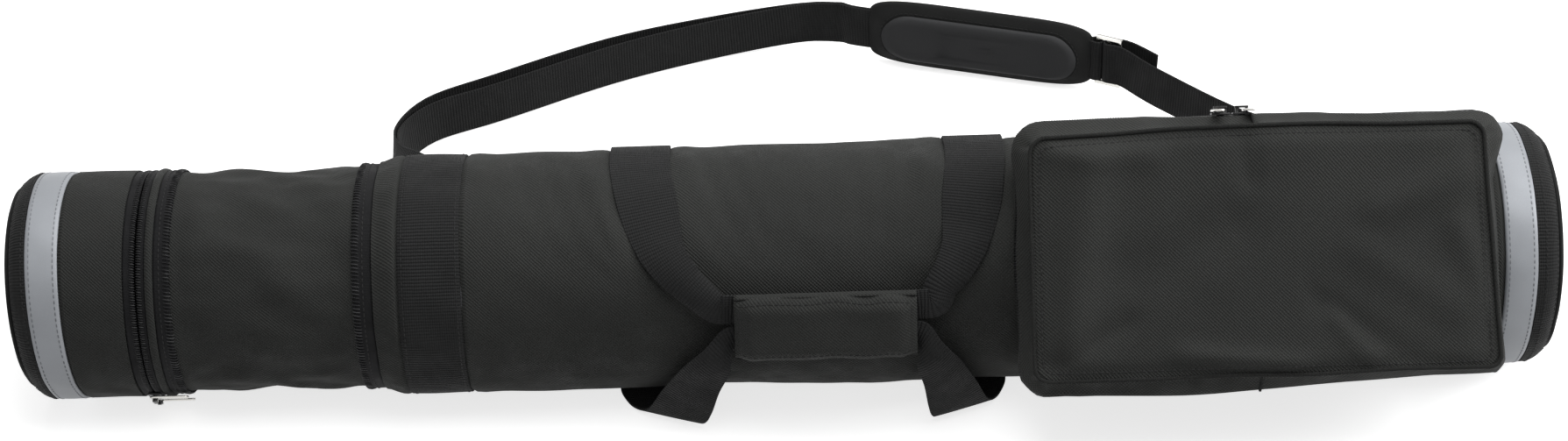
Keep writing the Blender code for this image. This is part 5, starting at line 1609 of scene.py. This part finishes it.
class CASE_OT_stage(bpy.types.Operator):
    """Lay the pale floor, hang the soft lights and place the camera"""
    bl_idname = "carry_case.stage"
    bl_label = "Studio"

    def execute(self, context):
        stage = sizes("case_stage")
        scene = context.scene
        scene.view_settings.view_transform = "Standard"
        self.floor(stage)
        self.world(scene, stage)
        self.light("softbox overhead", (0.35, 0.15, 1.85), (0.0, 0.0, 0.05), 2.2, 2.0, stage.key)
        self.light("softbox on the right", (2.1, -0.25, 1.15), (0.1, -0.1, 0.10), 0.8, 0.8, stage.fill)
        self.camera(scene, stage)
        return {"FINISHED"}

    def floor(self, stage):
        bm = bmesh.new()
        bmesh.ops.create_grid(bm, x_segments=2, y_segments=2, size=9.0)
        mesh = bpy.data.meshes.new("studio_floor")
        bm.to_mesh(mesh)
        bm.free()
        item = bpy.data.objects.new("studio_floor", mesh)
        bpy.context.scene.collection.objects.link(item)
        made, w, shader, spots = blank("pale studio floor")
        shader.inputs["Roughness"].default_value = 0.9
        shader.inputs["Specular IOR Level"].default_value = 0.0
        rays = w.node("ShaderNodeLightPath")
        seen = w.sum("MAXIMUM", rays.outputs["Is Camera Ray"], rays.outputs["Is Glossy Ray"])
        seen = w.sum("MAXIMUM", seen, rays.outputs["Is Transmission Ray"])
        dim = tuple(0.42 * c for c in stage.floor)
        w.feed(shader.inputs["Base Color"], w.mix(seen, (*dim, 1.0), (*stage.floor, 1.0)))
        w.feed(shader.inputs["Emission Strength"], w.sum("MULTIPLY", seen, 0.74))
        shader.inputs["Emission Color"].default_value = (1.0, 1.0, 1.0, 1.0)
        mesh.materials.append(made)

    def world(self, scene, stage):
        world = bpy.data.worlds.new("white room")
        scene.world = world
        world.use_nodes = True
        w = Wiring(world.node_tree)
        back = world.node_tree.nodes["Background"]
        rays = w.node("ShaderNodeLightPath")
        seen = w.sum("MAXIMUM", rays.outputs["Is Camera Ray"], rays.outputs["Is Glossy Ray"])
        seen = w.sum("MAXIMUM", seen, rays.outputs["Is Transmission Ray"])
        w.feed(back.inputs["Strength"], w.spread(seen, 0.0, 1.0, stage.ambient, 1.0))
        back.inputs["Color"].default_value = (1.0, 1.0, 1.0, 1.0)

    def light(self, name, place, aim, wide, deep, power):
        lamp = bpy.data.lights.new(name, "AREA")
        lamp.shape = "RECTANGLE"
        lamp.size = wide
        lamp.size_y = deep
        lamp.energy = power
        item = bpy.data.objects.new(name, lamp)
        bpy.context.scene.collection.objects.link(item)
        item.location = place
        item.rotation_euler = (Vector(aim) - Vector(place)).to_track_quat("-Z", "Y").to_euler()

    def camera(self, scene, stage):
        view = Vector((0.0, cos(stage.elevation), -sin(stage.elevation)))
        level = Vector((1.0, 0.0, 0.0))
        upright = Vector((0.0, sin(stage.elevation), cos(stage.elevation)))
        right = level * cos(stage.roll) - upright * sin(stage.roll)
        top = level * sin(stage.roll) + upright * cos(stage.roll)
        lens = bpy.data.cameras.new("photo camera")
        lens.lens = stage.lens
        lens.sensor_width = 36.0
        lens.sensor_fit = "HORIZONTAL"
        item = bpy.data.objects.new("photo camera", lens)
        scene.collection.objects.link(item)
        place = Vector((0.0, 0.0, AXIS_Z)) + top * stage.rise - view * stage.distance
        turn = Matrix((right, top, -view)).transposed().to_4x4()
        item.matrix_world = Matrix.Translation(place) @ turn
        scene.camera = item


class CASE_PT_panel(bpy.types.Panel):
    """Every piece of the carry case, in building order"""
    bl_idname = "CASE_PT_panel"
    bl_label = "Carry case"
    bl_space_type = "VIEW_3D"
    bl_region_type = "UI"
    bl_category = "Carry case"

    def draw(self, context):
        for maker in MAKERS:
            self.layout.operator(maker.bl_idname)


MAKERS = (CASE_OT_stage, CASE_OT_tube, CASE_OT_inside, CASE_OT_ends, CASE_OT_lid, CASE_OT_zips, CASE_OT_expansion,
          CASE_OT_metal, CASE_OT_pocket, CASE_OT_handle, CASE_OT_strap, CASE_OT_pad)


def register():
    for group in (*GROUPS.values(), *MAKERS, CASE_PT_panel):
        bpy.utils.register_class(group)
    for name, group in GROUPS.items():
        setattr(bpy.types.Scene, name, bpy.props.PointerProperty(type=group))


def unregister():
    for name in GROUPS:
        delattr(bpy.types.Scene, name)
    for group in (CASE_PT_panel, *MAKERS, *GROUPS.values()):
        bpy.utils.unregister_class(group)


def main():
    register()
    for maker in MAKERS:
        group, name = maker.bl_idname.split(".")
        getattr(getattr(bpy.ops, group), name)()
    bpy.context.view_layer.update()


if __name__ == "__main__":
    main()
